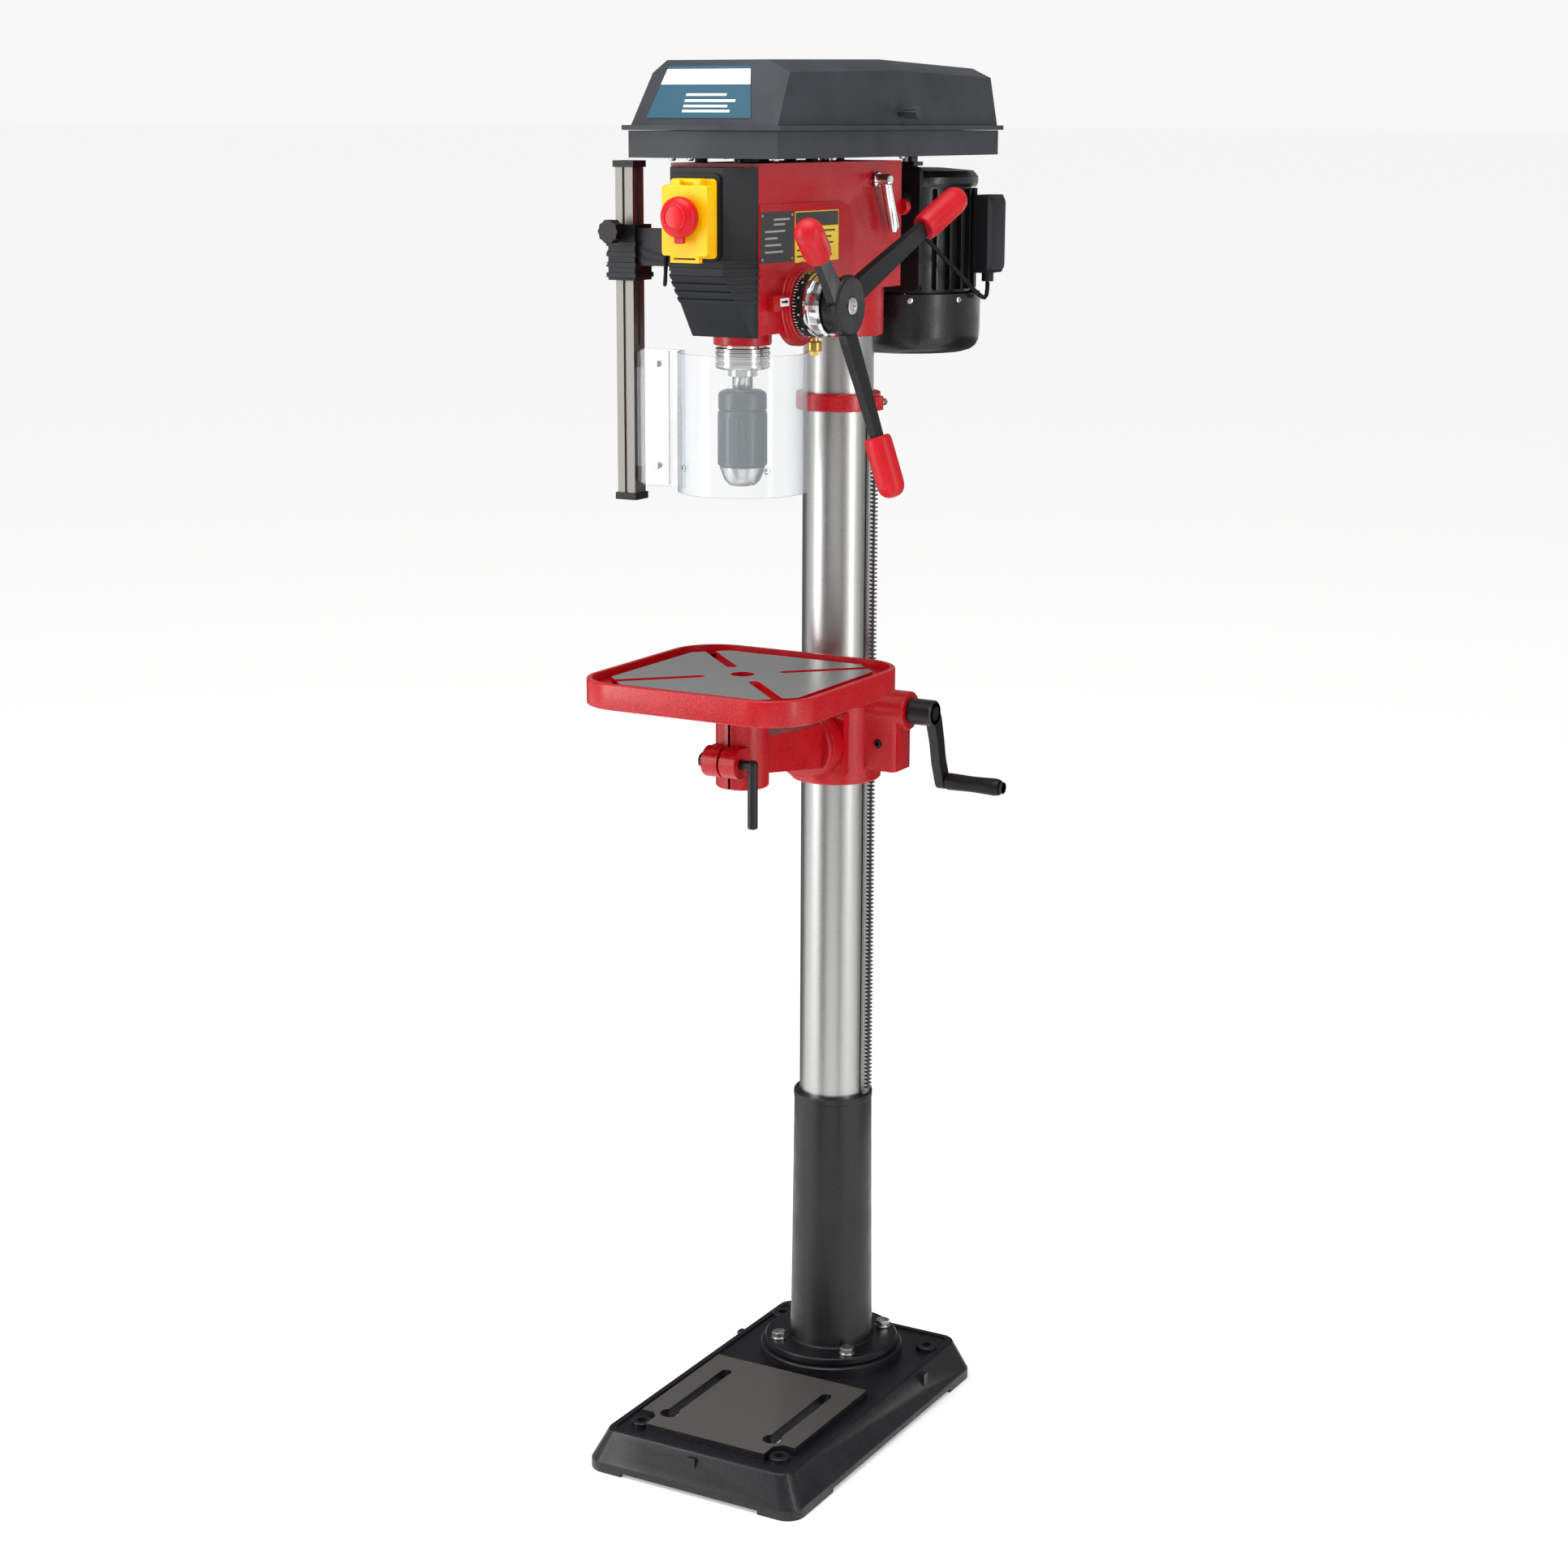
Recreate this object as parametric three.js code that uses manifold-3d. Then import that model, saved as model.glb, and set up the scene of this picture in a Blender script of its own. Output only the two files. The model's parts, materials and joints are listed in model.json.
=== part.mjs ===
// Floor-standing drill press, modelled as separate pieces. Millimetres, Z up.
// Origin: on the column axis, at floor level. -Y is the operator's side, +X the feed-handle side.
import * as THREE from 'three';
import { mergeVertices } from 'three/addons/utils/BufferGeometryUtils.js';
import { ConvexGeometry } from 'three/addons/geometries/ConvexGeometry.js';
import Module from 'manifold-3d';

const wasm = await Module();
wasm.setup();
const group = new THREE.Group();

// Driving sizes.
const columnRadius = 40;
const columnBore = 34;
const reach = 216;
const baseHalfWidth = 138.8;
const baseFront = 339;
const baseBack = 115.2;
const baseHeight = 48;
const flangeTop = 69.3;
const sleeveTop = 384;
const collarBottom = 1194;
const collarTop = 1214;
const tableHalf = 138;
const tableRimTop = 926.2;
const tableRimDepth = 28;
const bracketBottom = 767;
const bracketTop = 859;
const headHalf = 52.6;
const headBottom = 1294;
const headTop = 1469;
const headBack = 48;
const trayBottom = 1474;
const trayHalf = 88.7;
const trayFront = 299;
const trayBack = 222.3;
const lidKnobY = -27;
const feedZ = 1322.4;
const quillRadius = 24;
const pinionOffset = 8;
const feedY = -reach + quillRadius + pinionOffset;
const motorY = 172;
const motorRadius = 84;
const pinY = 31;
const pinZ = 769;
const postX = -138;
const postY = -reach - 4;
const columnTop = 1405;
const barHeight = 1425;
const barSpread = 34;

// Share of the usual number of flats used on round surfaces.
const roundness = 0.5;

// Clearances between neighbouring pieces.
const slip = 0.3;
const running = 0.5;

// Paints and metals.
const red = { color: 0xb80c1a, roughness: 0.42, metalness: 0.1 };
const black = { color: 0x1b1d20, roughness: 0.55, metalness: 0.0 };
const charcoal = { color: 0x3b3e41, roughness: 0.6, metalness: 0.0 };
const steel = { color: 0xb2b1ae, roughness: 0.32, metalness: 1.0 };
const chrome = { color: 0xd8d8da, roughness: 0.1, metalness: 1.0 };
const dark = { color: 0x4a525a, roughness: 0.4, metalness: 0.9 };
const grip = { color: 0xd8202f, roughness: 0.5, metalness: 0.0 };
const yellow = { color: 0xf5bd00, roughness: 0.45, metalness: 0.0 };
const green = { color: 0x1f8a3c, roughness: 0.45, metalness: 0.0 };
const rubber = { color: 0x101113, roughness: 0.85, metalness: 0.0 };
const clear = { color: 0xe8eef0, roughness: 0.05, metalness: 0.0 };

// Closed triangle mesh from any three geometry, vertices welded, outward faces.
function solid(geometry) {
  const bare = new THREE.BufferGeometry();
  bare.setAttribute('position', geometry.getAttribute('position'));
  if (geometry.index) bare.setIndex(geometry.index);
  const welded = mergeVertices(bare, 1e-3);
  const p = welded.getAttribute('position').array;
  const source = welded.index.array;
  const tri = [];
  let volume = 0;
  for (let i = 0; i < source.length; i += 3) {
    const [a, b, c] = [source[i], source[i + 1], source[i + 2]];
    if (a === b || b === c || a === c) continue;
    tri.push(a, b, c);
    const [ax, ay, az] = [p[a * 3], p[a * 3 + 1], p[a * 3 + 2]];
    const [bx, by, bz] = [p[b * 3], p[b * 3 + 1], p[b * 3 + 2]];
    const [cx, cy, cz] = [p[c * 3], p[c * 3 + 1], p[c * 3 + 2]];
    volume += ax * (by * cz - bz * cy) - ay * (bx * cz - bz * cx) + az * (bx * cy - by * cx);
  }
  if (volume < 0) tri.reverse();
  return new wasm.Manifold(new wasm.Mesh({
    numProp: 3,
    vertProperties: new Float32Array(p),
    triVerts: new Uint32Array(tri),
  }));
}

// Box between opposite corners.
function block(x0, x1, y0, y1, z0, z1) {
  const g = new THREE.BoxGeometry(x1 - x0, y1 - y0, z1 - z0);
  g.translate((x0 + x1) / 2, (y0 + y1) / 2, (z0 + z1) / 2);
  return solid(g);
}

// Carries a shape built about the Y axis onto the wanted axis.
function aim(g, axis, u, v) {
  if (axis === 'z') g.rotateX(Math.PI / 2).translate(u, v, 0);
  if (axis === 'x') g.rotateZ(-Math.PI / 2).translate(0, u, v);
  if (axis === 'y') g.translate(u, 0, v);
  return g;
}

// Number of flats for a round surface that would usually take the given count.
function flatCount(usual) {
  return Math.max(8, 2 * Math.round((usual * roundness) / 2));
}

// Turned shape: profile of [radius, height along the axis], starting and ending on the axis.
function turned(axis, profile, u, v, flats = 32) {
  const n = flatCount(flats);
  const points = profile.map(([r, a]) => new THREE.Vector2(r, a));
  return solid(aim(new THREE.LatheGeometry(points, n), axis, u, v));
}

// Turned ring: profile closed on itself. The bore's flats lie outside its radius, so a shaft fits.
function ring(axis, profile, u, v, n = 32) {
  const bore = Math.min(...profile.map(([r]) => r));
  const wide = bore / Math.cos(Math.PI / flatCount(n));
  const eased = profile.map(([r, a]) => [r === bore ? wide : r, a]);
  return turned(axis, [...eased, eased[0]], u, v, n);
}

// Straight cylinder, with a small bevel at each end when asked.
function rod(axis, r, a0, a1, u, v, n = 24, bevel = 0) {
  if (bevel === 0) return turned(axis, [[0, a0], [r, a0], [r, a1], [0, a1]], u, v, n);
  const path = [[0, a0], [r - bevel, a0], [r, a0 + bevel], [r, a1 - bevel], [r - bevel, a1], [0, a1]];
  return turned(axis, path, u, v, n);
}

// Cutter for a round hole: its flats lie outside the radius, so a shaft of that radius fits.
function hole(axis, r, a0, a1, u, v, n = 24) {
  return rod(axis, r / Math.cos(Math.PI / flatCount(n)), a0, a1, u, v, n);
}

// Flat outline pushed along an axis: (x,y) for z, (y,z) for x, (x,z) for y.
function prism(axis, outline, a0, a1) {
  const shape = new THREE.Shape(outline.map(([a, b]) => new THREE.Vector2(a, b)));
  const g = new THREE.ExtrudeGeometry(shape, { depth: a1 - a0, bevelEnabled: false });
  const m = new THREE.Matrix4();
  if (axis === 'z') m.makeTranslation(0, 0, a0);
  if (axis === 'x') m.set(0, 0, 1, a0, 1, 0, 0, 0, 0, 1, 0, 0, 0, 0, 0, 1);
  if (axis === 'y') m.set(1, 0, 0, 0, 0, 0, -1, a1, 0, 1, 0, 0, 0, 0, 0, 1);
  return solid(g.applyMatrix4(m));
}

// Convex body around a set of points.
function hull(points) {
  return solid(new ConvexGeometry(points.map(([x, y, z]) => new THREE.Vector3(x, y, z))));
}

// Round bar swept along a smooth path.
function swept(points, r, steps, sides = 6) {
  const path = new THREE.CatmullRomCurve3(points.map((p) => new THREE.Vector3(...p)), false, 'catmullrom', 0.5);
  const shape = new THREE.Shape();
  for (let i = 0; i < sides; i += 1) {
    const t = (i / sides) * 2 * Math.PI;
    if (i === 0) shape.moveTo(r, 0);
    else shape.lineTo(r * Math.cos(t), r * Math.sin(t));
  }
  return solid(new THREE.ExtrudeGeometry(shape, { steps, extrudePath: path, bevelEnabled: false }));
}

// Corner points of a rectangle with rounded corners.
function roundedOutline(x0, x1, y0, y1, r, n = 4) {
  const out = [];
  const corners = [[x1 - r, y1 - r, 0], [x0 + r, y1 - r, 1], [x0 + r, y0 + r, 2], [x1 - r, y0 + r, 3]];
  for (const [cx, cy, q] of corners) {
    for (let i = 0; i <= n; i += 1) {
      const t = ((q + i / n) * Math.PI) / 2;
      out.push([cx + r * Math.cos(t), cy + r * Math.sin(t)]);
    }
  }
  return out;
}

// Slot outline between two points, with round ends.
function slotOutline(x0, y0, x1, y1, r, n = 5) {
  const out = [];
  const t0 = Math.atan2(y1 - y0, x1 - x0);
  for (let i = 0; i <= n; i += 1) {
    const t = t0 - Math.PI / 2 + (Math.PI * i) / n;
    out.push([x1 + r * Math.cos(t), y1 + r * Math.sin(t)]);
  }
  for (let i = 0; i <= n; i += 1) {
    const t = t0 + Math.PI / 2 + (Math.PI * i) / n;
    out.push([x0 + r * Math.cos(t), y0 + r * Math.sin(t)]);
  }
  return out;
}

function circleOutline(cx, cy, r, n, turn = 0) {
  const out = [];
  for (let i = 0; i < n; i += 1) {
    const t = turn + (i / n) * 2 * Math.PI;
    out.push([cx + r * Math.cos(t), cy + r * Math.sin(t)]);
  }
  return out;
}

function join(first, ...others) {
  return others.reduce((sum, next) => sum.add(next), first);
}

function cut(first, ...others) {
  return others.reduce((rest, next) => rest.subtract(next), first);
}

// Adds one named piece to the assembly.
function piece(name, body, look) {
  const mesh = body.getMesh();
  const g = new THREE.BufferGeometry();
  g.setAttribute('position', new THREE.BufferAttribute(new Float32Array(mesh.vertProperties), 3));
  g.setIndex(new THREE.BufferAttribute(new Uint32Array(mesh.triVerts), 1));
  g.computeVertexNormals();
  const node = new THREE.Mesh(g, new THREE.MeshStandardMaterial(look));
  node.name = name;
  group.add(node);
}

// Hollow base casting on four feet, with cross ribs that reach the floor under the column.
function baseCasting() {
  const level = (inset, r, z) => roundedOutline(-baseHalfWidth + inset, baseHalfWidth - inset,
    -baseFront + inset * 0.73, baseBack - inset * 0.61, r, 4).map(([x, y]) => [x, y, z]);
  const wall = 7;
  const outer = hull([...level(0, 22, 0), ...level(0, 22, 13), ...level(19, 16, baseHeight)]);
  const inner = hull([...level(wall, 18, -1), ...level(wall, 18, 12), ...level(19 + wall, 12, baseHeight - 8)]);
  const shell = outer.subtract(inner);
  const longRib = block(-5, 5, -baseFront + 4, baseBack - 3, 6, baseHeight - 6);
  const crossRib = block(-baseHalfWidth + 4, baseHalfWidth - 4, -5, 5, 6, baseHeight - 6);
  const middleFoot = rod('z', 22, 0, baseHeight - 6, 0, 0, 24);
  const recess = prism('z', roundedOutline(-112, 112, -318, 96, 12, 3), baseHeight - 2.4, baseHeight + 1);
  const bottomGaps = [
    block(-90, 90, -baseFront - 1, -baseFront + 30, -1, 5),
    block(-90, 90, baseBack - 30, baseBack + 1, -1, 5),
    block(-baseHalfWidth - 1, -baseHalfWidth + 30, -250, 50, -1, 5),
    block(baseHalfWidth - 30, baseHalfWidth + 1, -250, 50, -1, 5),
  ];
  const padTop = 55.2;
  const padOutline = [[101.4, -99], [-101.4, -99], [-101.4, -273], [-86, -273], [-78, -281],
    [-78, -302.5], [78, -302.5], [78, -281], [86, -273], [101.4, -273]];
  const pad = prism('z', padOutline, baseHeight - 8, padTop);
  const boss = (x, y, r, top) => rod('z', r, baseHeight - 8, top, x, y, 20);
  const columnBoss = rod('z', 86, baseHeight - 8, flangeTop - 10 - slip, 0, 0, 48);
  const ribs = join(longRib, crossRib).intersect(outer);
  const body = join(shell.subtract(recess), ribs, middleFoot, pad, columnBoss,
    boss(-91, -290, 12, 51.5), boss(91, -290, 12, 51.5), boss(100.6, 59, 13, 51.5), boss(-100.6, 59, 13, 51.5));
  const slots = [];
  for (const side of [-1, 1]) {
    slots.push(prism('z', slotOutline(side * 68, -266, side * 68, -138, 6.5, 5), -1, 70));
    slots.push(prism('z', circleOutline(side * 68, -266, 11, 16), -1, 70));
    slots.push(hole('z', 5.5, -1, 70, side * 91, -290, 16));
    slots.push(hole('z', 5.5, -1, 70, side * 100.6, 59, 16));
  }
  slots.push(hole('z', columnRadius + slip, 30, 70, 0, 0, 48));
  for (let i = 0; i < 4; i += 1) {
    const t = Math.PI / 4 + (i * Math.PI) / 2;
    slots.push(hole('z', 5.2, 30, 70, 66 * Math.cos(t), 66 * Math.sin(t), 16));
  }
  return cut(body, ...bottomGaps, ...slots);
}

// Column foot: bolted flange with a slightly tapered sleeve round the column.
function columnFoot() {
  const bore = columnRadius + slip;
  const body = ring('z', [[bore, flangeTop - 10], [80.4, flangeTop - 10], [80.4, flangeTop - 1],
    [79.4, flangeTop], [53, flangeTop], [50.5, flangeTop + 5], [49, flangeTop + 40], [46, sleeveTop - 8],
    [47, sleeveTop - 7], [46.5, sleeveTop - 1], [45.5, sleeveTop], [bore, sleeveTop]], 0, 0, 48);
  const holes = [];
  for (let i = 0; i < 4; i += 1) {
    const t = Math.PI / 4 + (i * Math.PI) / 2;
    holes.push(hole('z', 5.2, 40, 90, 66 * Math.cos(t), 66 * Math.sin(t), 16));
  }
  holes.push(hole('x', 3.4, -60, -30, 0, 311, 12));
  return cut(body, ...holes);
}

// Hexagon-head bolt standing on the flange.
function flangeBolt(index) {
  const t = Math.PI / 4 + (index * Math.PI) / 2;
  const [x, y] = [66 * Math.cos(t), 66 * Math.sin(t)];
  const washer = rod('z', 9.5, flangeTop + 0.15, flangeTop + 1.8, x, y, 20);
  const head = prism('z', circleOutline(x, y, 8.6, 6, 0.3 + index), flangeTop + 1.7, flangeTop + 8.5);
  const shank = rod('z', 4.9, 36, flangeTop + 2, x, y, 16);
  return join(washer, head, shank);
}

function columnTube() {
  const profile = [[columnBore, 34], [columnRadius, 34], [columnRadius, columnTop], [columnBore, columnTop]];
  return ring('z', profile, 0, 0, 64);
}

// Toothed strip standing beside the column; the table is wound up and down on it.
function heightRack() {
  const [inside, root, tip] = [columnRadius + 0.4, columnRadius + 5.6, columnRadius + 9];
  const pitch = 9.42;
  const bottom = sleeveTop + 0.4;
  const top = collarBottom - 0.4;
  const outline = [[inside, top], [inside, bottom], [root, bottom]];
  const count = Math.floor((top - bottom - 10) / pitch);
  for (let i = 0; i < count; i += 1) {
    const z = bottom + 5 + i * pitch;
    outline.push([root, z], [tip, z + pitch / 2]);
  }
  outline.push([root, top]);
  return prism('y', outline, -6.5, 6.5);
}

// Clamp ring that holds the top of the toothed strip.
function rackCollar() {
  const bore = columnRadius + slip;
  const body = ring('z', [[bore, collarBottom], [47, collarBottom], [48, collarBottom + 1.5],
    [47, collarTop], [bore, collarTop]], 0, 0, 40);
  const lug = block(44, 54, -9, 9, collarBottom, collarTop - 4);
  const screwHole = hole('y', 2.6, -20, 20, 51, collarBottom + 9, 12);
  return cut(join(body, lug), hole('z', bore, 1100, 1300, 0, 0, 48), screwHole);
}

// Table carrier: clamps the column, with the gear case on the crank side.
function tableBracket() {
  const bore = columnRadius + running;
  const barrel = rod('z', 52.6, bracketBottom, bracketTop, 0, 0, 40, 2);
  const caseOutline = roundedOutline(30, 88, -21, 21, 5, 3);
  const gearCase = prism('z', caseOutline, 784, 852);
  const wormBoss = rod('x', 22, 40, 97, 0, 854, 28);
  const nose = rod('y', 37, -72, -20, 0, 816, 36);
  const noseWeb = block(-37, 37, -50, -20, 780, 852);
  const clampEars = block(-17, 17, 40, 76, 790, 838);
  const strip = block(columnRadius - 2, columnRadius + 9.6, -7, 7, bracketBottom - 1, 905);
  const gearRoom = hole('y', 17.5, -16, 16, 66, 816, 24);
  const body = join(barrel, gearCase, wormBoss, nose, noseWeb, clampEars);
  return cut(body, hole('z', bore, 700, 900, 0, 0, 64), strip, gearRoom,
    block(-1.2, 1.2, 38, 80, 700, 900), hole('x', 5.3, -30, 30, 64, 814, 16),
    hole('x', 8.3, 84, 110, 0, 854, 20), hole('y', 8.3, -80, -56, 0, 816, 20),
    hole('y', 5, -30, -15, 66, 816, 16));
}

// Lever screw that closes the split of the table carrier.
function columnLock() {
  const screw = rod('x', 5, -40, 19, 64, 814, 16);
  const hub = rod('x', 9, -32, -17.6, 64, 814, 20, 1);
  const lever = rod('z', 4.4, 814, 872, -27, 64, 14, 1);
  const ball = turned('z', [[0, 866], [6, 868], [9, 874], [9, 878], [6, 884], [0, 886]], -27, 64, 18);
  const collar = rod('x', 8, 17.4, 22, 64, 814, 8);
  return join(screw, hub, lever, ball, collar);
}

// Crank for the table height: hub, curved arm and handle pin.
function liftCrank() {
  const shaft = rod('x', 8, 85, 100, 0, 854, 20);
  const hub = rod('x', 15, 97.6, 129, 0, 854, 28, 2);
  const armPath = [[0, 854], [8, 842], [15, 820], [21, 794], [pinY, pinZ]];
  const widths = [11, 9.5, 8.5, 8.5, 8.5];
  const side = (sign) => armPath.map(([y, z], i) => {
    const a = armPath[Math.max(i - 1, 0)];
    const b = armPath[Math.min(i + 1, armPath.length - 1)];
    const len = Math.hypot(b[0] - a[0], b[1] - a[1]);
    return [y + (sign * widths[i] * -(b[1] - a[1])) / len, z + (sign * widths[i] * (b[0] - a[0])) / len];
  });
  const arm = prism('x', [...side(1), ...side(-1).reverse()], 118, 129);
  const end = rod('x', 9, 118, 129, pinY, pinZ, 20, 1);
  const pin = rod('x', 4.5, 125, 199, pinY, pinZ, 16);
  const flare = rod('x', 7, 198, 202, pinY, pinZ, 16);
  return join(shaft, hub, arm, end, pin, flare);
}

function crankGrip() {
  return ring('x', [[4.8, 129.6], [9, 129.6], [10, 132], [9.2, 162], [10, 190], [8.5, 197.4], [4.8, 197.4]],
    pinY, pinZ, 24);
}

// Support arm: turns about the long bolt to tilt the table, and clamps the table post.
function tableArm() {
  const flange = rod('y', 37, -82, -72.3, 0, 816, 36, 1);
  const beam = hull([[-27, -80, 794], [27, -80, 794], [-27, -80, 846], [27, -80, 846],
    [-20, -reach + 12, 812], [20, -reach + 12, 812], [-20, -reach + 12, 852], [20, -reach + 12, 852]]);
  const boss = rod('z', 29, 799, 888, 0, -reach, 36, 1.5);
  const ears = prism('x', circleOutline(-reach - 38, 832, 17, 20), -21, 21);
  const earWeb = block(-21, 21, -reach - 38, -reach - 10, 816, 848);
  const body = join(flange, beam, boss, ears, earWeb);
  return cut(body, hole('z', 20 + running, 806, 900, 0, -reach, 32), hole('z', 13, 780, 820, 0, -reach, 24),
    block(-1.3, 1.3, -reach - 70, -reach, 780, 900), hole('x', 5.4, -40, 40, -reach - 40, 832, 16),
    hole('y', 8.3, -90, -60, 0, 816, 20));
}

// Round-cornered work table with a raised rim, coolant trough and crossed slots.
function workTable() {
  const low = tableRimTop - tableRimDepth;
  const square = (h, r) => roundedOutline(-h, h, -reach - h, -reach + h, r, 7);
  let body = prism('z', square(tableHalf, 55), low, tableRimTop);
  const trough = prism('z', square(tableHalf - 6, 49), tableRimTop - 10, tableRimTop + 1);
  const half = tableHalf - 22;
  const cutBack = half - 32;
  const plateau = [[half, -reach - cutBack], [half, -reach + cutBack], [cutBack, -reach + half],
    [-cutBack, -reach + half], [-half, -reach + cutBack], [-half, -reach - cutBack],
    [-cutBack, -reach - half], [cutBack, -reach - half]];
  const top = prism('z', plateau, tableRimTop - 12, tableRimTop - 3);
  body = join(cut(body, trough), top);
  const under = prism('z', square(tableHalf - 9, 46), low - 1, low + 10);
  body = cut(body, under);
  const ribs = [block(-4, 4, -reach - tableHalf + 5, -reach + tableHalf - 5, low + 1, low + 14),
    block(-tableHalf + 5, tableHalf - 5, -reach - 4, -reach + 4, low + 1, low + 14)];
  const post = rod('z', 20, 808, low + 14, 0, -reach, 32);
  const hub = rod('z', 36, 889, low + 14, 0, -reach, 36, 1);
  const slots = [];
  for (let i = 0; i < 4; i += 1) {
    const t = Math.PI / 4 + (i * Math.PI) / 2;
    const [c, s] = [Math.cos(t), Math.sin(t)];
    slots.push(prism('z', slotOutline(48 * c, -reach + 48 * s, 132 * c, -reach + 132 * s, 6, 4), low - 1, 940));
  }
  return cut(join(body, ...ribs, post, hub), ...slots, hole('z', 13, 780, 940, 0, -reach, 28));
}

// Bent lever screw that clamps the table post.
function tableClampLever() {
  const y = -reach - 40;
  const screw = rod('x', 5, -28, 34, y, 832, 16);
  const nut = prism('x', circleOutline(y, 832, 8.5, 6), -29, -21.4);
  const elbow = rod('x', 6, 24, 40, y, 832, 16);
  const lever = rod('z', 5.6, 762, 838, 36, y, 16, 1);
  return join(screw, nut, elbow, lever);
}

// Head casting: hollow body, column clamp, quill barrel and feed boss.
function headCasting() {
  const body = prism('z', [[-headHalf, headBack], [-headHalf, -274], [headHalf, -274], [headHalf, headBack]],
    1350, headTop);
  const rear = block(-headHalf, headHalf, -100, headBack, 1331, 1352);
  const lower = hull([[-headHalf, -92, 1352], [headHalf, -92, 1352], [-headHalf, -274, 1352],
    [headHalf, -274, 1352], [-27, -92, headBottom], [headHalf, -92, headBottom],
    [-27, -274, headBottom], [headHalf, -274, headBottom]]);
  const clampBarrel = rod('z', 50, 1278, 1340, 0, 0, 40, 1);
  const web = block(-34, 34, -100, -30, 1300, 1340);
  const quillBarrel = rod('z', 31, 1280, 1320, 0, -reach, 32, 1);
  const feedBoss = join(rod('x', 37, 40, 60, feedY, feedZ, 40, 1.5), rod('x', 44, 45, 55, feedY, feedZ + 2, 40, 1.5));
  const springBoss = rod('x', 30, -60, -34, feedY, feedZ, 32, 1);
  const pads = prism('x', [[-273, 1428], [-273, 1352], [-62, 1352], [-62, 1404], [-79, 1422], [-84, 1424],
    [-100, 1428]], 50, headHalf + 1.6);
  const leftPad = prism('x', [[-273, 1428], [-273, 1352], [-62, 1352], [-62, 1404], [-84, 1424],
    [-100, 1428]], -headHalf - 1.6, -50);
  const lugs = [];
  for (const x of [-barSpread, barSpread]) lugs.push(rod('y', 13, 30, 58, x, barHeight, 24));
  const earBack = block(-16, 16, 44, 62, 1290, 1328);
  let casting = join(body, rear, lower, clampBarrel, web, quillBarrel, feedBoss, springBoss, pads, leftPad,
    ...lugs, earBack);
  const room = block(-headHalf + 8, headHalf - 8, -265, -52, 1366, headTop - 7);
  casting = cut(casting, room);
  const topHole = hole('z', 27, 1440, 1480, 0, -reach, 32);
  const columnHole = hole('z', columnRadius + slip, 1270, columnTop + 1, 0, 0, 64);
  const quillHole = hole('z', quillRadius + running, 1270, 1440, 0, -reach, 40);
  const pinionHole = hole('x', 11, -70, 100, feedY, feedZ, 28);
  const idlerHole = hole('z', 8.3, 1462 - 8, 1480, 0, -34, 20);
  const slideHoles = [];
  for (const x of [-barSpread, barSpread]) slideHoles.push(hole('y', 7 + slip, -60, 70, x, barHeight, 20));
  const leverHole = hole('x', 5.3, 40, 60, -17, 1449, 16);
  const split = block(-1.2, 1.2, 36, 70, 1270, 1330);
  return cut(casting, topHole, columnHole, quillHole, pinionHole, idlerHole, ...slideHoles, leverHole, split);
}

// Moulded nose cover with horizontal ribs and a raised switch panel.
function frontCover() {
  const yBack = -274.4;
  const slope = (z, from, span) => Math.max(0, (from - z) / span);
  const left = (z) => -headHalf + slope(z, 1350, 58) * 25.6;
  const face = (z) => -310 + slope(z, 1356, 64) * 29.5;
  const noseLeft = (z) => -31.5 + slope(z, 1356, 64) * 9.5;
  const noseRight = (z) => 31.5 + slope(z, 1356, 64) * 18.5;
  const ringAt = (z, t, back) => [[left(z) + t, back, z], [headHalf - t, back, z],
    [noseLeft(z) + t * 0.6, face(z) + t, z], [noseRight(z) - t * 0.6, face(z) + t, z]];
  const shell = hull([...ringAt(1465, 0, yBack), ...ringAt(1356, 0, yBack), ...ringAt(1350, 0, yBack),
    ...ringAt(1292, 0, yBack)]);
  const hollow = hull([...ringAt(1462, 3, yBack + 4), ...ringAt(1356, 3, yBack + 4),
    ...ringAt(1350, 3, yBack + 4), ...ringAt(1295, 3, yBack + 4)]);
  const ribs = [];
  for (let i = 0; i < 6; i += 1) {
    const z = 1372 - i * 8.2;
    ribs.push(hull([...ringAt(z, -1.5, yBack - 0.4), ...ringAt(z - 3.6, -1.5, yBack - 0.4)]));
  }
  const panel = prism('y', roundedOutline(-29.5, 29.5, 1372, 1459, 6, 3), -313, -306);
  const window = prism('y', roundedOutline(-22, 22, 1382, 1446, 3, 2), -320, -300);
  return cut(join(shell, ...ribs, panel), hollow, window);
}

// Yellow switch body with two key wells, set in the panel.
function switchBody() {
  const plate = prism('y', roundedOutline(-26.5, 26.5, 1374, 1454, 4, 3), -318, -313.3);
  const rear = block(-20, 20, -313.8, -286, 1384, 1444);
  const keyWells = [block(-15.4, -0.6, -330, -292, 1397, 1419), block(0.6, 15.4, -330, -292, 1397, 1419)];
  return cut(join(plate, rear), ...keyWells);
}

function switchKey(x0, x1) {
  return block(x0 + slip, x1 - slip, -320, -300, 1397 + slip, 1419 - slip);
}

// Hinged yellow flap that closes over the keys.
function switchFlap() {
  const outer = prism('y', roundedOutline(-27, 27, 1377, 1448, 3, 2), -334, -318.4);
  const inner = prism('y', roundedOutline(-24.5, 24.5, 1379.5, 1445.5, 2, 2), -331.5, -300);
  const hinge = rod('x', 3.4, -16, 16, -321.9, 1451, 14);
  const clips = [block(-16, -8, -330, -320, 1446, 1453), block(8, 16, -330, -320, 1446, 1453)];
  const latch = cut(block(-17, 17, -334, -327, 1370, 1378), block(-13, 13, -340, -320, 1373, 1375));
  const pushHole = hole('y', 8.4, -350, -320, 0, 1416, 24);
  return cut(join(cut(outer, inner), hinge, ...clips, latch), pushHole);
}

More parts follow.
